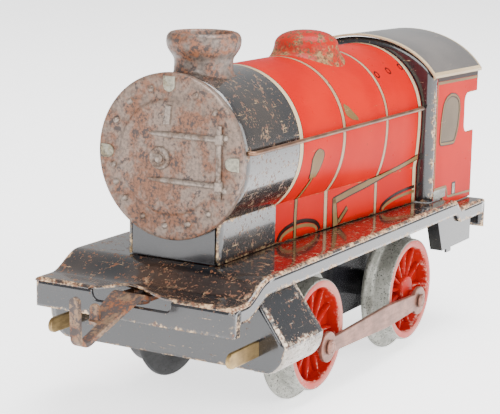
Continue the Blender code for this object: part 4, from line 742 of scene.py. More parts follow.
@dataclass
class Footplate:
    """Pressed footplate with its valances and beams."""

    half: float = 22.3
    beam_x: float = 12.7
    rear_x: float = -109.0
    top: float = 31.596
    deck: float = 28.196
    rear_deck: float = 29.396
    cove: tuple[float, float] = (8.0, -1.0)
    step: tuple[float, float] = STEP_X
    opening: tuple[float, float, float] = (-37.3, -72.4, 9.8)
    valance: float = 3.4
    bend: float = 0.7
    beam_bottom: float = 22.496
    rear_bottom: float = 22.396
    notch_half: float = 8.9
    notch_depth: float = 2.6
    notch_round: float = 1.4
    rear_slot_half: float = 7.5
    arch: float = 1.7
    fold_back: float = 2.4
    sheet: float = 0.5

    def height(self, x: Array) -> Array:
        """Top of the plate along the engine: the deck, an eased cove up, the level top, an eased step down."""
        rise = (self.top - self.deck) * ease((self.cove[0] - x) / (self.cove[0] - self.cove[1]))
        fall = (self.top - self.rear_deck) * ease((self.step[0] - x) / (self.step[0] - self.step[1]))
        return self.deck + rise - fall

    def top_sheet(self) -> Surface:
        """Top of the plate: height over x and y, less a quarter-round fall at the rims, plus the arch in front."""
        fall = self.bend * (1 - np.cos(QUARTER))
        reach = self.bend * (1 - np.sin(QUARTER))
        level_x = np.r_[np.linspace(11.9, -1.0, 30), np.linspace(-3.0, -36.0, 12), np.linspace(*self.opening[:2], 9),
                        np.linspace(-75.0, -91.0, 7), np.linspace(-91.5, -94.5, 9), np.linspace(-96.0, -108.2, 6)]
        x = np.r_[self.beam_x - reach[:0:-1], level_x, self.rear_x + reach[1:]]
        fall_x = np.r_[fall[:0:-1], 0 * level_x, fall[1:]]
        inside = self.half - self.bend
        level_y = np.r_[np.linspace(inside, 10.6, 8), self.opening[2], np.linspace(self.notch_half, 0.0, 11)]
        level_y = np.r_[level_y, -level_y[-2::-1]]
        y = np.r_[self.half - reach[:0:-1], level_y, reach[1:] - self.half]
        fall_y = np.r_[fall[:0:-1], 0 * level_y, fall[1:]]
        free = (x[:, None] > 0) & (np.abs(y) < self.notch_half + 0.05)
        raised = self.arch * np.clip((x[:, None] - self.cove[0]) / (self.beam_x - self.cove[0]), 0, 1)
        bow = raised * np.cos(np.pi * np.clip(y / (2 * self.notch_half), -0.5, 0.5)) ** 2
        z = self.height(x)[:, None] - np.maximum(np.where(free, 0.0, fall_x[:, None]), fall_y) + bow
        points = np.stack([np.broadcast_to(x[:, None], z.shape), np.broadcast_to(y, z.shape), z], axis=-1)
        middle_x = (x[1:] + x[:-1])[:, None] / 2
        middle_y = np.abs(y[1:] + y[:-1]) / 2
        hole = (middle_x < self.opening[0]) & (middle_x > self.opening[1]) & (middle_y < self.opening[2])
        rim = np.minimum(np.minimum(self.beam_x - x, x - self.rear_x)[:, None], self.half - np.abs(y))
        return Surface.grid(points, 0, np.broadcast_to(rim, z.shape), keep=~hole)

    def valance_sheet(self) -> Surface:
        """Left valance: a ruled strip from below the rim down to the valance's depth, along the plate's height."""
        x = np.r_[np.linspace(self.beam_x - self.fold_back, -1.0, 24), np.linspace(-4.0, -91.0, 24),
                  np.linspace(-91.4, -94.5, 9), np.linspace(-96.0, self.rear_x, 8)][:, None]
        depth = np.linspace(self.bend, self.valance, 6)
        z = self.height(x) - depth
        points = np.stack([x + 0 * z, self.half + 0 * z, z], axis=-1)
        return Surface.grid(points, 1, np.broadcast_to(np.minimum(depth, self.valance - depth), z.shape), flip=True)

    def beam(self, plan: Array, top: Array, bottom: float, corner: Array) -> Surface:
        """A beam: lines down from a top edge to a level bottom, carried along a plan.

        Args:
            plan: Rows of x and y.
            top: Height of the top edge at each of them.
            bottom: Height of the lower edge.
            corner: Distance of each from a folded corner.

        Returns:
            The sheet.
        """
        share = np.linspace(0.0, 1.0, 9)
        z = top[:, None] * (1 - share) + bottom * share
        points = np.stack([plan[:, :1] + 0 * z, plan[:, 1:] + 0 * z, z], axis=-1)
        return Surface.grid(points, 1, np.minimum(z - bottom, corner[:, None]))

    def front_beam(self) -> Surface:
        """Front beam, its ends folded back round the corners and its top notched for the coupling."""
        bent = self.half - self.bend
        fold = np.column_stack([self.beam_x - self.bend * (1 - np.sin(QUARTER)), bent + self.bend * np.cos(QUARTER)])
        lead = [[self.beam_x - self.fold_back, self.half]]
        slope = np.linspace(self.notch_half - self.notch_round, self.notch_half, 8)[::-1]
        level = np.r_[np.linspace(bent - 0.5, self.notch_half + 0.4, 10), self.notch_half + 0.001, slope,
                      np.linspace(self.notch_half - 2.0, 0.0, 6)]
        near = np.vstack([lead, fold, np.column_stack([self.beam_x + 0 * level, level])])
        plan = np.vstack([near, near[-2::-1] * [1, -1]])
        y = np.abs(plan[:, 1])
        round_in = np.clip(y - self.notch_half + self.notch_round, 0.0, self.notch_round)
        notch = self.deck - self.notch_depth + self.notch_round - np.sqrt(self.notch_round ** 2 - round_in ** 2)
        top = np.where(y > self.notch_half, self.deck - self.bend, notch)
        return self.beam(plan, top, self.beam_bottom, np.abs(y - self.half + 0.4))

    def rear_beam(self) -> Surface:
        """Rear beam with the slot for the drawbar."""
        near = np.r_[np.linspace(-self.half, -self.rear_slot_half - 0.001, 9), -self.rear_slot_half,
                     np.linspace(-self.rear_slot_half + 0.5, 0.0, 6)]
        y = np.r_[near, -near[-2::-1]]
        top = np.where(np.abs(y) > self.rear_slot_half, self.rear_deck - self.bend, self.rear_deck - self.notch_depth)
        plan = np.column_stack([self.rear_x + 0 * y, y])
        return self.beam(plan, top, self.rear_bottom, self.half - np.abs(y))

    def build(self) -> None:
        """Join the sheets and put the footplate in."""
        valance = self.valance_sheet()
        shape = joined([self.top_sheet(), valance, valance.on(Side.RIGHT), self.front_beam(), self.rear_beam()])
        put("footplate_pressing", shape, [Palette.FOOTPLATE, Palette.BLACK], "chassis", ["footplate"],
            self.sheet)


@dataclass
class CylinderBlock:
    """Bent sheet with the front plate and two cylinder skins, and the brass strips that stand out of it."""

    front_x: float = 1.2
    rear_x: float = -13.3
    bottom: float = 13.096
    widest: float = 18.996
    neck: float = 27.896
    top: float = 30.4
    flat_half: float = 22.6
    widest_half: float = 27.35
    neck_half: float = 20.9
    lip: float = 2.3
    bend: float = 0.6
    sheet: float = 0.5
    rod_level: float = 17.796
    rod_tips: tuple[float, float] = (12.2, 10.0)
    rod_length: float = 22.0
    rod_half: float = 1.5
    rod_faces: tuple[float, float] = (20.4, 21.3)

    def half_width(self, z: Array) -> Array:
        """Half-width over height: a quarter ellipse up to the widest place, then a straight slope to the neck."""
        low = np.clip((self.widest - z) / (self.widest - self.bottom), 0.0, 1.0)
        curl = self.flat_half + (self.widest_half - self.flat_half) * np.sqrt(1 - low ** 2)
        slope = np.interp(z, [self.widest, self.neck], [self.widest_half, self.neck_half])
        return np.where(z < self.widest, curl, slope)

    def section(self) -> Array:
        """Left half of the section as rows of y and z, from the neck down round the curl to the lip."""
        turn = np.linspace(0.0, np.pi / 2, 18)
        curl = np.column_stack([
            self.flat_half + (self.widest_half - self.flat_half) * np.cos(turn),
            self.widest - (self.widest - self.bottom) * np.sin(turn),
        ])
        slope = np.column_stack([np.linspace(self.neck_half, self.widest_half, 10)[:-1],
                                 np.linspace(self.neck, self.widest, 10)[:-1]])
        lip = np.column_stack([np.linspace(self.flat_half, self.flat_half - self.lip, 4)[1:], np.full(3, self.bottom)])
        return np.vstack([[self.neck_half, self.top], slope, curl, lip])

    def skin(self) -> Surface:
        """Left skin: the section carried back from the front, drawn in round a quarter-round bend at its start."""
        line = self.section()
        ahead = unit(np.gradient(line, axis=0))
        outward = np.column_stack([-ahead[:, 1], ahead[:, 0]])
        inset = np.r_[self.bend * (1 - np.sin(QUARTER)), np.zeros(10)]
        x = np.r_[self.front_x - self.bend * (1 - np.cos(QUARTER)),
                  np.linspace(self.front_x - self.bend, self.rear_x, 11)[1:]]
        ring = line[None] - inset[:, None, None] * outward[None]
        points = np.concatenate([np.broadcast_to(x[:, None, None], (*ring.shape[:2], 1)), ring], axis=2)
        from_ends = np.minimum(np.abs(self.front_x - 0.2 - x), np.abs(x - self.rear_x))[:, None]
        fold = np.hypot(line[:, 0] - self.widest_half, line[:, 1] - self.widest)
        low = np.broadcast_to((line[1:, 1] + line[:-1, 1]) / 2 < self.widest - 0.6, (len(x) - 1, len(line) - 1))
        return Surface.grid(points, np.where(low, 1, 2), np.minimum(from_ends, fold[None]), flip=True)

    def front_plate(self) -> Surface:
        """Front plate: half-width over height times a share from -1 to 1."""
        z = np.r_[self.bottom + self.bend * 0.5, np.linspace(self.bottom + 0.8, self.top, 26)]
        share = np.linspace(-1.0, 1.0, 41)
        y = (self.half_width(z) - self.bend)[:, None] * share
        points = np.stack([np.full(y.shape, self.front_x), y, np.broadcast_to(z[:, None], y.shape)], axis=-1)
        rim = np.minimum((z - self.bottom)[:, None], self.half_width(z)[:, None] - np.abs(y))
        return Surface.grid(points, 0, rim, flip=True)

    def rods(self) -> None:
        """Brass strips: plates with rounded ends, one at each side."""
        for side, tip in zip(Side, self.rod_tips):
            nose = arc((tip - self.rod_half, 0.0), self.rod_half, -90, 90)
            tail = tip - self.rod_length
            outline = np.vstack([nose, [[tail, self.rod_half], [tail, -self.rod_half]]])
            strip = Surface.slab(outline, *self.rod_faces, 0.15, 0.5).upright().moved(z=self.rod_level).on(side)
            name = f"piston_rod_{side.word}"
            put(f"{name}_strip", strip, [Palette.BRASS], name, [name], closed=True)

    def build(self) -> None:
        """Put the block and its strips in."""
        skin = self.skin()
        shape = joined([self.front_plate(), skin, skin.on(Side.RIGHT)])
        put("cylinder_block_sheet", shape, [Palette.BLACK, Palette.CURL, Palette.CYLINDER], "chassis",
            ["cylinder_block"], self.sheet)
        self.rods()


@dataclass
class Boiler:
    """Wrapper of smokebox, boiler and skirts in one sheet, with its printed bands and fittings."""

    front_x: float = -1.9
    rear_x: float = -83.7
    smokebox_rear: float = -24.7
    radius: float = BARREL_RADIUS
    axis_z: float = BARREL_AXIS_Z
    bottom: float = 31.796
    front_half: float = 10.1
    rear_half: float = 14.9
    sheet: float = 0.4
    bands: tuple[tuple[float, float], ...] = ((-24.7, 0.70), (-43.9, 0.58), (-65.0, 0.50), (-82.6, 0.72))
    line_width: float = 0.22
    winding: tuple[float, float, float] = (-54.685, 40.419, 3.0)
    winding_reach: float = 5.0

    @property
    def crease(self) -> float:
        """Distance down from the crown, along the barrel, to the crease above the skirts."""
        return self.radius * (np.pi - np.arcsin(self.front_half / self.radius))

    @property
    def hem(self) -> float:
        """Distance down from the crown to the lower edge of the skirts."""
        return self.crease + self.axis_z + self.radius * np.cos(self.crease / self.radius) - self.bottom

    def down_at(self, z: Array) -> Array:
        """Distance down from the crown to a height on the side."""
        ledge = self.axis_z + self.radius * np.cos(self.crease / self.radius)
        barrel = self.radius * np.arccos(np.clip((z - self.axis_z) / self.radius, -1.0, 1.0))
        return np.where(z > ledge, barrel, self.crease + ledge - z)

    def round_winding(self, x: Array, down: Array) -> Array:
        """Grid lines moved along x so that two of them follow the winding hole's circle on the right side.

        The sheet is straight along x, so its shape stays as it is. A line at the hole's radius moves to
        sqrt(r2 - dz2) beside the hole, and eases back to its place above and below it.

        Args:
            x: Places of the lines.
            down: Distance from the crown; negative on the right.

        Returns:
            The new places, one for each pair.
        """
        centre, level, radius = self.winding
        offset = x - centre
        rise = np.abs(self.point(x, down)[..., 2] - level)
        back = radius * ease((rise - radius) / (self.winding_reach - radius))
        half = np.where(rise < radius, np.sqrt(np.maximum(radius ** 2 - rise ** 2, 0.0)), back)
        share = (np.abs(offset) - radius) / (self.winding_reach - radius)
        outside = np.sign(offset) * (half + share * (self.winding_reach - half))
        moved = centre + np.where(np.abs(offset) <= radius, offset * half / radius, outside)
        return np.where((np.abs(offset) < self.winding_reach) & (down < 0), moved, x)

    def point(self, x: Array, down: Array) -> Array:
        """Place on the sheet.

        The barrel is a circle; past its widest it is drawn in by a share that falls towards the cab, so that the
        crease stays level while the skirts below it, which are flat, widen.

        Args:
            x: Place along the engine.
            down: Distance from the crown down the left side; negative on the right.

        Returns:
            Points in three coordinates.
        """
        turn = np.minimum(np.abs(down), self.crease) / self.radius
        half = np.interp(-x, [-self.smokebox_rear, -self.rear_x], [self.front_half, self.rear_half])
        drawn = (self.radius - half) / (self.radius - self.front_half)
        round_y = self.radius * np.sin(turn)
        y = np.where(turn > np.pi / 2, self.radius - drawn * (self.radius - round_y), round_y)
        z = self.axis_z + self.radius * np.cos(turn) - np.maximum(np.abs(down) - self.crease, 0.0)
        return np.stack(np.broadcast_arrays(x, np.sign(down) * y, z), axis=-1)

    def lifted(self, x: Array, down: Array, lift: float) -> Array:
        """Place a little above the sheet, along its normal found from two small steps."""
        step = 0.05
        along = self.point(x + step, down) - self.point(x - step, down)
        across = self.point(x, down + step) - self.point(x, down - step)
        return self.point(x, down) + lift * unit(np.cross(along, across))

    def shell(self) -> Surface:
        """The sheet on a grid of x and distance from the crown, finished by bands along x."""
        edges = np.array([[m - h - self.line_width, m - h, m + h, m + h + self.line_width] for m, h in self.bands])
        edges = np.clip(edges, self.rear_x + 0.02, None)
        centre, level, radius = self.winding
        beside = centre + np.array([-1, 1, -1, 1]) * [self.winding_reach, self.winding_reach, radius, radius]
        even_x = np.linspace(self.front_x, self.rear_x, 36)
        x = np.unique(np.r_[edges.ravel(), self.smokebox_rear, beside, even_x])[::-1]
        hole_rows = self.down_at(level + radius * np.cos(np.linspace(0.0, np.pi, 21)))
        even_rows = np.r_[np.linspace(self.hem, self.crease, 7), np.linspace(self.crease, 0.0, 44)]
        left = np.unique(np.r_[even_rows, hole_rows])[::-1]
        down = np.r_[left, -left[-2::-1]]
        points = self.point(self.round_winding(x[:, None], down[None]), down[None])
        middle = (x[1:] + x[:-1])[:, None] / 2
        height = (points[:1, 1:, 2] + points[:1, :-1, 2]) / 2
        right = down[None, 1:] <= 0
        hole = (np.abs(middle - centre) < radius) & (np.abs(height - level) < radius) & right
        low = np.abs(down[1:] + down[:-1])[None] / 2 > self.crease
        number = np.where(middle > self.smokebox_rear, 1, 0) + 0 * low
        for place, (outer, inner, inner_front, outer_front) in enumerate(edges):
            printed = ~low | (place > 0)
            number = np.where((middle > outer) & (middle < outer_front) & printed, 3, number)
            number = np.where((middle > inner) & (middle < inner_front) & printed, 4 if place in (1, 2) else 2, number)
        rim = np.minimum(self.hem - np.abs(down)[None], np.minimum(self.front_x - x, x - self.rear_x + 2.0)[:, None])
        rim = np.minimum(rim, np.abs(np.abs(down)[None] - self.crease) + 0.12)
        from_hole = np.abs(np.hypot(points[..., 0] - centre, points[..., 2] - level) - radius)
        rim = np.where(down[None] < 0, np.minimum(rim, from_hole + 0.1), rim)
        return Surface.grid(points, number, rim, keep=~hole)

    def ribbon(self, path: Sequence[Sequence[float]], half: Union[float, Sequence[float]], lift: float, finish: int,
               count: int = 60, softness: int = 7) -> Surface:
        """A printed stripe: a path on the sheet widened to both sides in the sheet's own plane.

        Args:
            path: Rows of x and distance from the crown.
            half: Half-width, or one for each row.
            lift: Height above the sheet.
            finish: Finish number.
            count: Samples along the path.
            softness: How far its corners are softened.

        Returns:
            The stripe.
        """
        rows = np.asarray(path, float)
        widths = np.broadcast_to(half, len(rows))
        line = smooth_path(np.column_stack([rows, widths]), count, softness)
        ahead = unit(np.gradient(line[:, :2], axis=0))
        share = np.linspace(-1.0, 1.0, 7)[None]
        x = line[:, :1] - ahead[:, 1:] * line[:, 2:] * share
        down = line[:, 1:2] + ahead[:, :1] * line[:, 2:] * share
        return Surface.grid(self.lifted(x, down, lift), finish)

    def outlined(self, path: Sequence[Sequence[float]], half: Union[float, Sequence[float]], finish: int,
                 border: float = 0.3) -> Surface:
        """A stripe with a dark border under it."""
        wide = np.asarray(half) + border
        return self.ribbon(path, wide, FLOAT_LIFT, 0) + self.ribbon(path, half, 2 * FLOAT_LIFT, finish)

    def ring(self, x: float, down: float, inner: float, outer: float, finish: int) -> Surface:
        """A printed ring round a place on the sheet."""
        angle = np.linspace(0.0, 2 * np.pi, 32, endpoint=False)[:, None]
        radius = np.linspace(inner, outer, 4)[None]
        return Surface.grid(self.lifted(x + radius * np.cos(angle), down + radius * np.sin(angle), FLOAT_LIFT),
                            finish, close_u=True, flip=True)

    def arch(self, centre: float, half: float, rise: float, width: float, finish: int, sweep: float) -> Surface:
        """A printed wheel arch: part of an ellipse that stands on the hem.

        Args:
            centre: Middle of the ellipse along the engine.
            half: Half its length.
            rise: Its height.
            width: Half-width of the stripe.
            finish: Finish number.
            sweep: Angle it runs through from its front end, in degrees.

        Returns:
            The stripe.
        """
        turn = np.radians(np.linspace(0.0, sweep, 40))
        path = np.column_stack([centre + half * np.cos(turn), self.hem - 0.4 - rise * np.sin(turn)])
        return self.ribbon(path, width, FLOAT_LIFT, finish)

    def prints(self, side: Side) -> Surface:
        """Printed fittings, drawn for the left side: valve and pipe, reversing rod and lever, wheel arches, plugs.

        Args:
            side: Side they are meant for; on the right the rod stops short of the winding hole.

        Returns:
            The prints, still to be mirrored for the right.
        """
        hem = self.hem - 0.1
        behind = [(-83.3, 35.1), (-72.2, 37.4), (-61.4, 39.15)]
        ahead = [(-46.9, 41.1)]
        rods = {Side.LEFT: [behind + [(-53.2, 40.15)] + ahead],
                Side.RIGHT: [behind + [(-57.9, 39.55)], [(-51.4, 40.4)] + ahead]}
        return joined([
            *[self.outlined(path, 0.62, 1) for path in rods[side]],
            self.outlined([(-32.4, 25.7), (-32.4, 26.3), (-32.5, 27.4), (-32.5, 29.0), (-32.5, 30.6), (-32.5, 32.2)],
                          [0.3, 1.7, 2.5, 2.2, 1.75, 1.3], 1, 0.35),
            self.outlined([(-32.5, 32.0), (-31.9, 35.1), (-32.3, 38.3), (-32.0, 42.0), (-32.0, hem)], 0.42, 1, 0.28),
            self.outlined([(-47.4, 40.4), (-47.6, 43.0), (-48.1, hem)], [0.55, 0.75, 0.95], 1),
            self.outlined([(-49.3, 45.9), (-52.9, 43.3)], 0.4, 1),
            self.arch(-83.5, 16.3, 3.3, 0.38, 0, 88),
            self.arch(-83.5, 15.2, 2.2, 0.36, 1, 88),
            self.arch(-33.6, 8.1, 2.9, 0.46, 0, 180),
            self.arch(-33.6, 7.0, 1.9, 0.36, 1, 180),
            self.ribbon([(-45.6, 18.0), (-46.4, 19.4), (-48.2, 20.6), (-50.8, 21.8)], [0.4, 1.3, 1.0, 0.3],
                        FLOAT_LIFT, 1),
            *[self.ring(x, down, 0.62, 0.95, 0) for x, down in ((-67.3, 13.1), (-73.7, 12.7), (-80.7, 12.3))],
        ])

    def tabs(self) -> Surface:
        """Three tabs of the wrapper, turned over the smokebox front."""
        tip = arc((0.0, 13.9), 1.3, 180, 360)
        outline = np.vstack([tip, [[1.3, 15.6], [-1.3, 15.6]]])
        tab = Surface.slab(outline, -0.2, 0.3, 0.15, 0.5).along(Axis.X)
        turned = tab.points[:, [0, 2, 1]]
        left = tab.with_points(turned).reversed()
        return joined([tab, left, left.on(Side.RIGHT)]).moved(z=self.axis_z)

    def build(self) -> None:
        """Put in the wrapper, its tabs and its prints."""
        put("boiler_wrapper", self.shell(), [Palette.RED, Palette.SMOKEBOX, Palette.CREAM, Palette.OUTLINE,
            Palette.DULL_CREAM], "chassis", ["boiler_shell"], self.sheet, 28)
        put("boiler_tabs", self.tabs(), [Palette.TAB_TIN], "chassis", (), closed=True)
        prints = joined([self.prints(side).on(side) for side in Side])
        put("boiler_prints", prints, [Palette.OUTLINE, Palette.GOLD], "chassis", ())


@dataclass
class SmokeboxFront:
    """Pressed front with a raised door, straps, hinge, knob, rivets and lamp iron."""

    axis_z: float = BARREL_AXIS_Z
    wall: float = 0.3
    strap_levels: tuple[float, float] = (4.5, -4.4)
    hinge_y: float = 11.45
    rivet_places: tuple[tuple[float, float], ...] = (
        (-4.1, 12.9), (-8.9, 10.0), (-12.0, 6.2), (5.9, 12.3), (10.2, 9.4), (-12.7, -2.6), (-12.0, -5.9),
        (-9.9, -8.9), (-5.8, -12.1), (-0.7, -13.4), (4.5, -12.5), (9.0, -10.0), (12.4, -5.2), (12.6, 4.8))

    def disc(self) -> Surface:
        """The pressing, turned about the boiler's axis: a rim, a flat, a ridge and a slightly domed door."""
        profile = [(16.2, -1.7), (16.2, -0.45), (16.08, -0.15), (15.8, 0.0), (15.2, 0.0), (13.4, 0.0), (11.5, 0.0),
                   (11.25, 0.06), (11.0, 0.3), (10.7, 0.46), (10.2, 0.46), (9.6, 0.42), (6.0, 0.5), (3.0, 0.54),
                   (0.0, 0.55)]
        edge = np.array([0.3, 0.1, 0.0, 0.2, 0.8, 2.0, 0.5, 0.3, 0.1, 0.1, 0.5, 1.0, 3.0, 4.0, 5.0])
        return Surface.revolved(np.array(profile), 96, 0, edge)

    def fittings(self) -> Surface:
        """Rivets as low domes, straps and hinge as rods, the knob as a turned ring, the lamp iron as a strip."""
        dome = np.column_stack([0.68 * np.cos(QUARTER), 0.62 * np.sin(QUARTER)])
        rivet = Surface.revolved(dome, 18)
        rivets = [rivet.along(Axis.X).moved(0.0, y, z) for y, z in self.rivet_places]
        straps = []
        for level in self.strap_levels:
            bow = np.linspace(0.0, 1.0, 24)
            path = np.column_stack([0.55 - 0.35 * (1 - bow) ** 6, -4.4 + 15.4 * bow, level + 0 * bow])
            straps.append(Surface.tube(path, 0.62 - 0.3 * (1 - bow) ** 8, 12, (1.0, 0.0, 0.0)))
        level = np.linspace(-7.1, 7.1, 20)
        line = np.column_stack([0.55 + 0 * level, self.hinge_y + 0 * level, level])
        hinge = Surface.tube(line, 0.52, 12, (1.0, 0.0, 0.0))
        collar = Surface.revolved(
            np.array([(0.0, -1.0), (0.7, -1.0), (0.86, -0.8), (0.86, 0.8), (0.7, 1.0), (0.0, 1.0)]), 18)
        collars = [collar.moved(0.5, self.hinge_y, z) for z in self.strap_levels]
        knob = Surface.revolved(np.array([(2.3, 0.3), (2.25, 0.8), (2.05, 1.05), (1.75, 1.1), (1.4, 0.95), (1.1, 0.75),
                                          (0.95, 0.8), (0.85, 1.2), (0.6, 1.4), (0.0, 1.45)]), 40)
        iron = Surface.slab(np.array([(-0.8, 6.4), (0.6, 6.5), (0.9, 10.0), (-0.3, 10.2)]), 0.3, 0.95, 0.15, 0.3)
        return joined([*rivets, *straps, hinge, *collars, knob.along(Axis.X).moved(0.0, -1.6, -0.2),
                       iron.along(Axis.X)])

    def build(self) -> None:
        """Put the front and its fittings in."""
        place = {"z": self.axis_z}
        put("smokebox_front_pressing", self.disc().along(Axis.X).moved(**place), [Palette.DISC_TIN], "chassis",
            ["smokebox_front"], self.wall)
        put("smokebox_front_fittings", self.fittings().moved(**place), [Palette.STRAP_TIN], "chassis", (),
            closed=True)
        restyle(Palette.BLACK_PLAIN, "smokebox_saddle")


@dataclass
class Mountings:
    """Chimney, dome and handrails."""

    barrel_radius: float = 15.72
    axis_z: float = BARREL_AXIS_Z
    chimney_x: float = -12.4
    chimney_waist: float = 69.8
    dome_x: float = -55.5
    rail_level: float = 53.996
    rail_ends: tuple[float, float] = (-2.9, -82.15)
    rail_radius: float = 0.45
    rail_turn: float = 1.1

    def seated(self, profile: Array, waist: float, x: float, finish: int = 0) -> Surface:
        """A turned shape whose foot follows the barrel.

        Below the waist each height is moved by a share of the barrel's fall, sqrt(R2 - (r sin a)2) - R, which is
        all of it at the lowest row and none at the waist.

        Args:
            profile: Rows of radius and height, from the foot up.
            waist: Height where the foot ends.
            x: Place along the engine.
            finish: Finish number.

        Returns:
            The surface.
        """
        body = Surface.revolved(profile, 72, finish, np.abs(profile[:, 1] - profile[0, 1]))
        foot = profile[0, 1]
        share = np.clip((waist - body.points[:, 2]) / (waist - foot), 0.0, 1.0)
        fall = np.sqrt(self.barrel_radius ** 2 - body.points[:, 1] ** 2) - self.barrel_radius
        return body.with_points(body.points + np.column_stack([0 * fall, 0 * fall, share * fall])).moved(x)

    def chimney(self) -> Surface:
        """Short flared foot, plain stack, thick rolled lip, open bore."""
        foot = self.axis_z + self.barrel_radius
        profile = np.array([
            (6.15, foot - 0.02), (5.98, foot + 0.15), (5.84, foot + 0.5), (5.78, foot + 1.2),
            (5.82, self.chimney_waist), (6.02, 70.4),
            (6.40, 70.95), (6.78, 71.5), (7.06, 72.0), (7.26, 72.6), (7.36, 73.2), (7.37, 73.8), (7.25, 74.35),
            (7.0, 74.8), (6.6, 75.12), (6.15, 75.26), (5.7, 75.15), (5.35, 74.7), (5.15, 73.8), (5.0, 72.0),
            (4.9, 67.6)])
        return self.seated(profile, self.chimney_waist, self.chimney_x)

    def dome(self) -> Surface:
        """Spread foot, neck and low elliptical cap."""
        foot = self.axis_z + self.barrel_radius
        turn = np.linspace(0.0, np.pi / 2, 16)
        cap = np.column_stack([7.0 * np.cos(turn) ** 0.8, foot + 1.5 + 3.36 * np.sin(turn)])
        spread = np.array([(8.6, foot - 0.05), (8.3, foot + 0.1), (7.75, foot + 0.35), (7.3, foot + 0.75),
                           (7.05, foot + 1.2)])
        return self.seated(np.vstack([spread, cap]), foot + 1.2, self.dome_x)

    def handrail(self) -> Surface:
        """Wire along the left of the barrel, with quarter-round ends turned in."""
        wall = np.sqrt(BARREL_RADIUS ** 2 - (self.rail_level - self.axis_z) ** 2) + 0.2
        front = arc((self.rail_ends[0] - self.rail_turn, wall), self.rail_turn, 0, 90, 10)
        rear = arc((self.rail_ends[1] + self.rail_turn, wall), self.rail_turn, 90, 180, 10)
        straight = np.linspace(front[-1], rear[0], 40)[1:-1]
        line = np.vstack([front, straight, rear])
        path = np.column_stack([line, np.full(len(line), self.rail_level)])
        return Surface.tube(path, self.rail_radius, 12)

    def build(self) -> None:
        """Put them in."""
        put("chimney_stack", self.chimney(), [Palette.CHIMNEY_TIN], "chassis", ["chimney"], crease=60)
        put("dome_pressing", self.dome(), [Palette.DOME_RED], "chassis", ["dome"], crease=60)
        rail = self.handrail()
        for side in Side:
            put(f"handrail_{side.word}_wire", rail.on(side), [Palette.RAIL_WIRE], "chassis",
                [f"handrail_{side.word}"], closed=True)


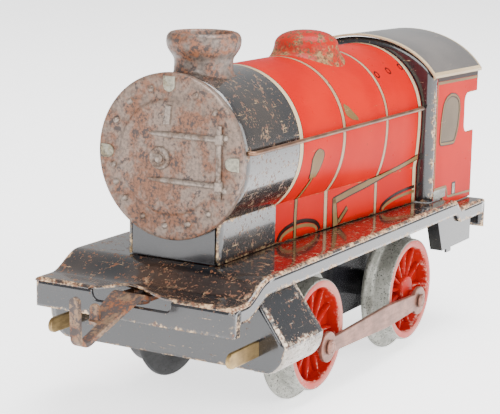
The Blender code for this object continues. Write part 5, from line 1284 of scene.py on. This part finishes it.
@dataclass
class Cab:
    """Cab front, sides with their printed windows and lines, roof and steps."""

    front_x: float = -83.9
    side_front: float = -86.1
    half: float = 18.3
    bend: float = 2.0
    bottom: float = 31.796
    rear_bottom: float = 29.596
    waist_x: float = -109.2
    eave_x: float = -110.8
    opening_x: float = -103.3
    corner: float = 2.0
    head_drop: float = 5.8
    opening_height: float = 9.5
    sheet: float = 0.5
    seat: float = 0.7
    roof_half: float = 19.0
    roof_span: float = 21.1
    roof_camber: float = 15.0
    roof_centre: float = 54.896
    roof_ends: tuple[float, float] = (-83.0, -111.3)
    roof_fall: float = 0.5
    roof_lip: float = 0.6
    edging: float = 0.75

    def roof_height(self, y: Array, inset: float = 0.0) -> Array:
        """Height of the roof's ellipse over y, or of one inside it."""
        return self.roof_centre + (self.roof_camber - inset) * np.sqrt(1 - (y / (self.roof_span - inset)) ** 2)

    def front_sheet(self) -> Surface:
        """Front: lines from the footplate up to the roof's arc, carried along a plan with bent corners."""
        inside = self.half - self.bend
        fold = arc((self.front_x - self.bend, inside), self.bend, 0, 90, 9)
        level = np.linspace(-inside, inside, 31)[1:-1]
        plan = np.vstack([fold[::-1] * [1, -1], np.column_stack([self.front_x + 0 * level, level]), fold])
        top = self.roof_height(plan[:, 1], self.seat) - 0.04
        share = np.linspace(0.0, 1.0, 24)
        z = self.bottom + (top - self.bottom)[:, None] * share
        points = np.stack([plan[:, :1] + 0 * z, plan[:, 1:] + 0 * z, z], axis=-1)
        rim = np.minimum(np.abs(np.abs(plan[:, 1:]) - self.half) + 0.1, z - self.bottom + 0.2)
        return Surface.grid(points, 0, rim)

    def side_outline(self) -> Array:
        """Outline of a side in x and z: stepped below, cut away behind between waist and eave."""
        top = self.roof_height(self.half, self.seat)
        drop = self.roof_fall / (self.roof_ends[0] - self.roof_ends[1])
        head = top - self.head_drop
        waist = head - self.opening_height
        corner_x = self.opening_x - self.corner
        share = np.linspace(0.0, 1.0, 12)
        rise = (self.bottom - self.rear_bottom) * ease(share)
        step = np.column_stack([STEP_X[1] + (STEP_X[0] - STEP_X[1]) * share, self.rear_bottom + rise])
        return np.vstack([
            [(self.side_front, self.bottom), (self.side_front, top - drop * (self.roof_ends[0] - self.side_front)),
             (self.eave_x, top - drop * (self.roof_ends[0] - self.eave_x)), (self.eave_x, head)],
            arc((corner_x, head - self.corner), self.corner, 90, 0),
            arc((corner_x, waist + self.corner), self.corner, 0, -90),
            [(self.waist_x, waist), (self.waist_x, self.rear_bottom)],
            step])

    def flat(self, outline: Array, lift: float, finish: int) -> Surface:
        """A printed patch on the side, lifted off it, as one face inside a closed line of x and z."""
        ring = np.asarray(outline, float)
        points = np.column_stack([ring[:, 0], np.full(len(ring), self.half + lift), ring[:, 1]])
        return Surface(points, np.zeros((0, 4), int), [np.arange(len(ring))], np.zeros(0, int), [finish],
                       np.full(len(ring), FAR_FROM_EDGE))

    def stroke(self, path: Sequence[Sequence[float]], half: float, lift: float, finish: int,
               count: int = 40) -> Surface:
        """A printed line on the side: a path of x and z widened to both sides."""
        line = smooth_path(path, count, 3)
        ahead = unit(np.gradient(line, axis=0))
        normal = np.column_stack([-ahead[:, 1], ahead[:, 0]])
        rows = line[:, None] + half * np.array([-1.0, 1.0])[None, :, None] * normal[:, None]
        points = np.stack([rows[..., 0], np.full(rows.shape[:2], self.half + lift), rows[..., 1]], axis=-1)
        return Surface.grid(points, finish)

    def window(self) -> Array:
        """Arched window of the side as a closed line of x and z."""
        corners = [(-93.0, 44.6), (-97.4, 44.4), (-99.2, 47.4), (-100.1, 51.9), (-99.5, 54.3), (-97.4, 55.5),
                   (-94.4, 56.0), (-91.8, 55.3), (-90.3, 53.9), (-89.3, 50.1), (-88.8, 44.9), (-93.0, 44.6)]
        return smooth_path(corners, 72, 3)

    def side_prints(self) -> Surface:
        """Prints of the left side: window with its frame, lines under the eave, along the foot and the front."""
        line = self.window()
        gap = [(-97.0, 31.7), (-99.4, 31.6), (-99.4, 34.7), (-97.0, 34.7)]
        return joined([
            self.flat(line[:-1], FLOAT_LIFT, 2),
            self.stroke(line, 0.5, 2 * FLOAT_LIFT, 0, 120),
            self.stroke(line, 0.27, 3 * FLOAT_LIFT, 1, 120),
            self.flat([(-86.2, 59.7), (-110.7, 59.2), (-110.7, 60.6), (-86.2, 61.0)], FLOAT_LIFT, 0),
            self.stroke([(-86.2, 59.3), (-110.7, 58.8)], 0.34, 2 * FLOAT_LIFT, 1),
            self.stroke([(-86.5, 34.4), (-93.6, 34.3), (-94.6, 31.6), (-109.0, 30.9)], 0.3, 2 * FLOAT_LIFT, 1, 60),
            self.flat([(-86.2, 31.9), (-93.4, 31.9), (-93.4, 34.0), (-86.2, 34.1)], FLOAT_LIFT, 3),
            self.stroke([(-86.45, 34.2), (-86.45, 59.0)], 0.22, FLOAT_LIFT, 1),
            self.flat(gap, FLOAT_LIFT, 0),
            self.flat([(-97.5, 31.9), (-98.9, 31.8), (-98.9, 34.3), (-97.5, 34.3)], 2 * FLOAT_LIFT, 4),
        ])

    def roof(self) -> Surface:
        """Roof: the ellipse over y with a lip at each eave, carried back along x and falling a little."""
        bound = np.arcsin(self.roof_half / self.roof_span)
        turn = np.linspace(bound, -bound, 49)
        curve = np.column_stack([self.roof_span * np.sin(turn), self.roof_centre + self.roof_camber * np.cos(turn)])
        lip = [(self.roof_half, curve[0, 1] - self.roof_lip)]
        line = np.vstack([lip, curve, np.array(lip) * [-1, 1]])
        front, rear = self.roof_ends
        x = np.r_[front, front - self.edging, np.linspace(front - 1.6, rear + 1.6, 14), rear + self.edging, rear]
        fall = self.roof_fall * (front - x) / (front - rear)
        points = np.stack([np.broadcast_to(x[:, None], (len(x), len(line))),
                           np.broadcast_to(line[:, 0], (len(x), len(line))), line[:, 1] - fall[:, None]], axis=-1)
        number = np.zeros((len(x) - 1, len(line) - 1), int)
        number[[0, -1]] = 1
        number[:, [0, 1, -2, -1]] = 1
        rim = np.minimum(front - x, x - rear)[:, None] + 0 * line[:, 1]
        return Surface.grid(points, number, rim)

    def build(self) -> None:
        """Put the cab in."""
        put("cab_front_sheet", self.front_sheet(), [Palette.BLACK], "chassis", ["cab_front"],
            self.sheet)
        side_plate = Surface.slab(self.side_outline(), self.half - self.sheet, self.half, 0.12, 0.6).upright()
        for side in Side:
            put(f"cab_side_{side.word}_sheet", side_plate.on(side), [Palette.RED], "chassis",
                [f"cab_side_{side.word}"], closed=True)
        prints = self.side_prints()
        put("cab_prints", prints + prints.on(Side.RIGHT),
            [Palette.OUTLINE, Palette.GOLD, Palette.GLASS_PRINT, Palette.TREAD, Palette.TAB_TIN],
            "chassis", ())
        put("cab_roof_sheet", self.roof(), [Palette.ROOF, Palette.CREAM], "chassis", ["cab_roof"],
            self.sheet)
        restyle(Palette.BLACK_PLAIN, "cab_step_left", "cab_step_right")


@dataclass
class Wheels:
    """Four cast wheels with spokes, rims and crank bosses, and their crank pins."""

    axles: tuple[tuple[str, float], ...] = (("front", -25.9), ("rear", REAR_AXLE_X))
    spokes: int = 12

    def casting(self) -> Surface:
        """Left wheel about the y axis: a turned body, raised half-round spokes and a crank boss."""
        profile = [(0.0, 9.8), (2.8, 9.8), (3.0, 10.0), (3.0, 15.3), (3.2, 15.6), (9.2, 15.6), (9.55, 15.4),
                   (9.65, 14.3),
                   (9.9, 14.1), (13.4, 14.1), (13.85, 14.3), (14.03, 14.7), (14.0, 15.1), (13.7, 15.5), (12.6, 15.7),
                   (11.95, 15.85), (11.7, 16.1), (11.6, 16.6), (11.5, 19.5), (11.4, 19.85), (11.15, 20.0), (10.0, 20.0),
                   (9.75, 19.85), (9.62, 19.5), (9.55, 17.5), (9.3, 17.1), (8.8, 17.0), (3.4, 17.0), (3.1, 17.2),
                   (3.0, 17.6), (3.0, 18.8), (2.8, 19.15), (2.5, 19.25), (0.0, 19.3)]
        finish = np.r_[np.full(8, 3), np.full(12, 1), np.full(2, 2), np.full(len(profile) - 23, 0)]
        edge = np.full(len(profile), FAR_FROM_EDGE)
        edge[22:26] = (0.0, 0.2, 0.5, 1.5)
        edge[30:33] = 0.2
        body = Surface.revolved(np.array(profile), 84, finish, edge)
        along = np.linspace(2.7, 9.7, 12)[:, None]
        turn = np.linspace(0.0, np.pi, 9)[None]
        rise = 1.45 - 0.3 * (along - 2.7) / 7.0
        spoke = np.stack([along + 0 * turn, 0.52 * np.cos(turn) + 0 * along, 17.0 + rise * np.sin(turn)], axis=-1)
        crest = np.broadcast_to(0.8 * np.abs(np.cos(turn)) + 0.05, spoke.shape[:2])
        angles = 2 * np.pi * (np.arange(self.spokes) + 0.5) / self.spokes
        turns = [np.array([[np.cos(a), np.sin(a), 0], [-np.sin(a), np.cos(a), 0], [0, 0, 1]]) for a in angles]
        spokes = [Surface.grid(spoke @ turn_by, 0, crest) for turn_by in turns]
        knob = np.array([(2.3, 17.0), (2.2, 17.4), (2.2, 19.5), (2.05, 19.8), (1.8, 19.95), (0.0, 19.95)])
        boss = Surface.revolved(knob, 36, 0, np.array([3, 2, 0.6, 0.1, 0.1, 0.9]))
        about_axle = joined([body, *spokes, boss.moved(x=CRANK_THROW)])
        return about_axle.upright()

    def pin(self) -> Surface:
        """Crank pin of the left side at its crank: a stem and a slightly domed head with a slot ring."""
        profile = np.array([(0.0, 17.0), (0.9, 17.0), (0.9, 21.5), (1.5, 21.5), (1.6, 21.6), (1.6, 21.85), (1.45, 22.0),
                            (1.2, 22.05), (1.0, 21.95), (0.8, 22.05), (0.4, 22.1), (0.0, 22.1)])
        return Surface.revolved(profile, 28).moved(x=CRANK_THROW).upright()

    def build(self) -> None:
        """Put wheels and pins on both axles."""
        casting, pin = self.casting(), self.pin()
        for place, x in self.axles:
            body = f"{place}_wheelset"
            for side, crank in zip(Side, CRANK_ANGLES):
                wheel = casting.on(side).swung(crank).moved(x, 0.0, AXLE_Z)
                # The right wheels' treads get the near-black finish as painted shade; the left ones get the bare tread
                # metal.
                tread = Palette.TREAD if side is Side.LEFT else Palette.GRIME
                put(f"{place}_wheel_{side.word}_casting", wheel,
                    [Palette.WHEEL_RED, tread, Palette.RIM_WORN, Palette.BLACK_PLAIN], body,
                    [f"{place}_wheel_{side.word}"], crease=40)
                put(f"{place}_crank_pin_{side.word}_turned", pin.on(side).swung(crank).moved(x, 0.0, AXLE_Z),
                    [Palette.ROD_STEEL], body, [f"{place}_crank_pin_{side.word}"], closed=True)
            restyle(Palette.STEEL, f"{place}_axle")


@dataclass
class CouplingRods:
    """Flat rods that join the crank pins of each side."""

    wheelbase: float = 45.4
    eye: float = 3.2
    faces: tuple[float, float] = (20.4, 21.3)
    half_rear: float = 1.9
    half_front: float = 1.6
    belly_x: float = 17.0
    belly: float = 2.5

    def outline(self) -> Array:
        """Two round eyes joined by a bar with a belly, in x and z from the rear pin."""
        rear = np.degrees(np.arcsin(self.half_rear / self.eye))
        front = np.degrees(np.arcsin(self.half_front / self.eye))
        belly = np.array([(self.belly_x, self.belly)])
        return np.vstack([arc((0.0, 0.0), self.eye, rear, 360 - rear, 33), belly * [1, -1],
                          arc((self.wheelbase, 0.0), self.eye, front - 180, 180 - front, 37), belly])

    def build(self) -> None:
        """Put both rods on their pins."""
        flat = Surface.slab(self.outline(), *self.faces, 0.18, 0.6)
        for side, crank in zip(Side, CRANK_ANGLES):
            x = REAR_AXLE_X + CRANK_THROW * np.cos(np.radians(crank))
            z = AXLE_Z + CRANK_THROW * np.sin(np.radians(crank))
            name = f"coupling_rod_{side.word}"
            put(f"{name}_bar", flat.upright().on(side).moved(x, 0.0, z), [Palette.ROD_STEEL], name, [name],
                closed=True)


@dataclass
class Clockwork:
    """Mainspring wound finer than its solid, and the finishes of the train and its frame."""

    arbor: tuple[float, float] = (-54.685, 40.419)
    inner: float = 2.8
    outer: float = 12.7
    thickness: float = 0.5
    turns: int = 7
    samples: int = 72

    def mainspring(self) -> Surface:
        """Strip wound in a spiral: the radius grows evenly with the angle, the section is a thin rectangle."""
        low, high = (corner[1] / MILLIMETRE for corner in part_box("mainspring"))
        count = self.turns * self.samples + 1
        angle = np.linspace(0.0, 2 * np.pi * self.turns, count)[:, None]
        section = np.array([(0.0, low), (self.thickness, low), (self.thickness, high), (0.0, high)])
        radius = np.linspace(self.inner, self.outer, count)[:, None] + section[:, 0]
        points = np.stack([radius * np.cos(angle), np.broadcast_to(section[:, 1], radius.shape),
                           radius * np.sin(angle)], axis=-1)
        return Surface.capped(points).moved(self.arbor[0], 0.0, self.arbor[1])

    def build(self) -> None:
        """Put the spring in and dress the train."""
        body = frame["nodes"]["mainspring"]["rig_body"]
        put("mainspring_strip", self.mainspring(), [Palette.SPRING], body, ["mainspring"], closed=True)
        restyle(Palette.BLACK_PLAIN, "motor_plate_left", "motor_plate_right")
        restyle(Palette.GEAR_BRASS, "great_wheel", "second_wheel", "second_pinion", "axle_gear")
        restyle(Palette.STEEL, "second_arbor", "winding_arbor", "ratchet_spring", "pillar_bottom", "pillar_top_front",
                "pillar_top_rear", "brake_rod", "brake_guide", "brake_knob")


@dataclass
class Couplings:
    """Front hook bent from strip and rear drawbar."""

    pivot: tuple[float, float] = (9.8, 27.046)
    swing: float = -2.0
    half_thickness: float = 0.45

    def hook(self) -> Surface:
        """Strip along a bent line in x and z: its two edges are functions of x, its section a thin rectangle."""
        bends = [(-3.4, 0.0), (2.0, 0.0), (2.9, 0.85), (3.8, 0.85), (17.6, -5.6), (19.4, -4.7), (19.8, 3.75)]
        line = smooth_path(bends, 120, 7)
        ahead = unit(np.gradient(line, axis=0))
        normal = np.column_stack([-ahead[:, 1], ahead[:, 0]])
        high_y = np.interp(line[:, 0], [-3.4, -2.4, 2.9, 19.4], [2.4, 3.4, 3.4, 1.0])
        low_y = np.interp(line[:, 0], [-3.4, -2.4, 2.9, 12.15, 12.25, 19.4], [-2.4, -3.4, -3.4, -2.8, -0.4, -1.0])
        tip = np.clip((3.75 - line[:, 1]) / 0.9, 0.0, 1.0)
        narrow = np.where(line[:, 0] > 19.0, np.sqrt(np.clip(1 - (1 - tip) ** 2, 0.05, 1.0)), 1.0)
        edges = np.stack([low_y, high_y, high_y, low_y], axis=1) * narrow[:, None]
        up = self.half_thickness * np.array([-1.0, -1.0, 1.0, 1.0])
        points = np.stack([line[:, :1] + up * normal[:, :1], edges, line[:, 1:] + up * normal[:, 1:]], axis=-1)
        return Surface.capped(points)

    def tab(self) -> Surface:
        """Small tab that stands up at the right of the fork."""
        outline = np.vstack([[(-2.8, -3.2), (-0.7, -3.2)], arc((-1.75, -0.5), 1.05, 0, 180, 13)])
        return Surface.slab(outline, 11.1, 11.95, 0.15, 0.4).along(Axis.X)

    def build(self) -> None:
        """Put the hook in and dress the rivets and the drawbar."""
        hook = self.hook() + self.tab()
        c, s = np.cos(np.radians(self.swing)), np.sin(np.radians(self.swing))
        turned = hook.with_points(hook.points @ np.array([[c, s, 0], [-s, c, 0], [0, 0, 1]]))
        put("front_coupling_hook", turned.moved(self.pivot[0], 0.0, self.pivot[1]), [Palette.HOOK_TIN],
            "front_coupling", ["front_coupling"], closed=True)
        restyle(Palette.HOOK_TIN, "rear_coupling", "front_coupling_rivet", "rear_coupling_rivet")


@dataclass
class Studio:
    """Floor, soft lights and the camera at the photograph's place."""

    focal_pixels: float = 1628.69
    frame_pixels: float = 500.0
    sensor: float = 36.0
    yaw: float = 209.45
    pitch: float = 11.3
    roll: float = 1.17
    place: tuple[float, float, float] = (259.36, 164.5, 104.05)
    target: tuple[float, float, float] = (0.0, 0.0, 0.04)
    sky: float = 0.6
    lamps: tuple[tuple[str, Colour, tuple[float, float], float], ...] = (
        ("side_light", (0.10, 0.75, 0.30), (0.9, 0.5), 8.5),
        ("front_light", (0.80, 0.10, 0.45), (0.6, 0.6), 8.0),
        ("top_light", (-0.15, 0.15, 0.9), (0.7, 0.7), 17.0))
    floor_half: float = 3000.0

    def floor(self) -> None:
        """Pale floor: a level grid."""
        line = np.linspace(-self.floor_half, self.floor_half, 13)
        x, y = np.meshgrid(line, line, indexing="ij")
        sheet = make_object("floor", Surface.grid(np.stack([x, y, 0 * x - 0.02], axis=-1)), [FloorPaper()], 30, False)

    def camera(self) -> None:
        """Camera whose axes come from yaw, pitch and roll."""
        yaw, pitch, roll = np.radians([self.yaw, self.pitch, self.roll])
        ahead = np.array([np.cos(yaw) * np.cos(pitch), np.sin(yaw) * np.cos(pitch), -np.sin(pitch)])
        level = unit(np.cross(ahead, (0.0, 0.0, 1.0)))
        rise = np.cross(level, ahead)
        right = np.cos(roll) * level + np.sin(roll) * rise
        up = np.cos(roll) * rise - np.sin(roll) * level
        lens = bpy.data.cameras.new("camera")
        lens.sensor_fit = "HORIZONTAL"
        lens.sensor_width = self.sensor
        lens.lens = self.focal_pixels / self.frame_pixels * self.sensor
        lens.clip_start = 0.01
        made = bpy.data.objects.new("camera", lens)
        bpy.context.scene.collection.objects.link(made)
        turn = Matrix(np.column_stack([right, up, -ahead]).tolist()).to_4x4()
        spot = (np.array(self.place) + [DATUM_X, 0.0, 0.0]) * MILLIMETRE
        made.matrix_world = Matrix.Translation(spot.tolist()) @ turn
        bpy.context.scene.camera = made

    def lamp(self, name: str, place: Sequence[float], size: tuple[float, float], power: float) -> None:
        """Rectangular soft light that looks at the engine.

        Args:
            name: Name of the light.
            place: Where it stands, in metres.
            size: Width and height in metres.
            power: Watts.
        """
        light = bpy.data.lights.new(name, "AREA")
        light.shape = "RECTANGLE"
        light.size, light.size_y = size
        light.energy = power
        made = bpy.data.objects.new(name, light)
        bpy.context.scene.collection.objects.link(made)
        back = unit(np.array(place) - self.target)
        side = unit(np.cross((0.0, 0.0, 1.0), back))
        turn = Matrix(np.column_stack([side, np.cross(back, side), back]).tolist()).to_4x4()
        made.matrix_world = Matrix.Translation(list(place)) @ turn

    def build(self) -> None:
        """Set the studio up."""
        self.floor()
        self.camera()
        world = bpy.data.worlds.new("studio")
        world.use_nodes = True
        background = world.node_tree.nodes["Background"].inputs
        background["Color"].default_value = (1.0, 1.0, 1.0, 1.0)
        background["Strength"].default_value = self.sky
        bpy.context.scene.world = world
        for name, place, size, power in self.lamps:
            self.lamp(name, place, size, power)


def main() -> None:
    """Build the engine's sub-assemblies in order, then the studio."""
    logging.basicConfig(level=logging.INFO, format="%(name)s: %(message)s")
    for assembly in (Footplate(), CylinderBlock(), Boiler(), SmokeboxFront(), Mountings(), Cab(), Wheels(),
                     CouplingRods(), Clockwork(), Couplings(), Studio()):
        assembly.build()
        LOG.info("%s done", type(assembly).__name__)


if __name__ == "__main__":
    main()
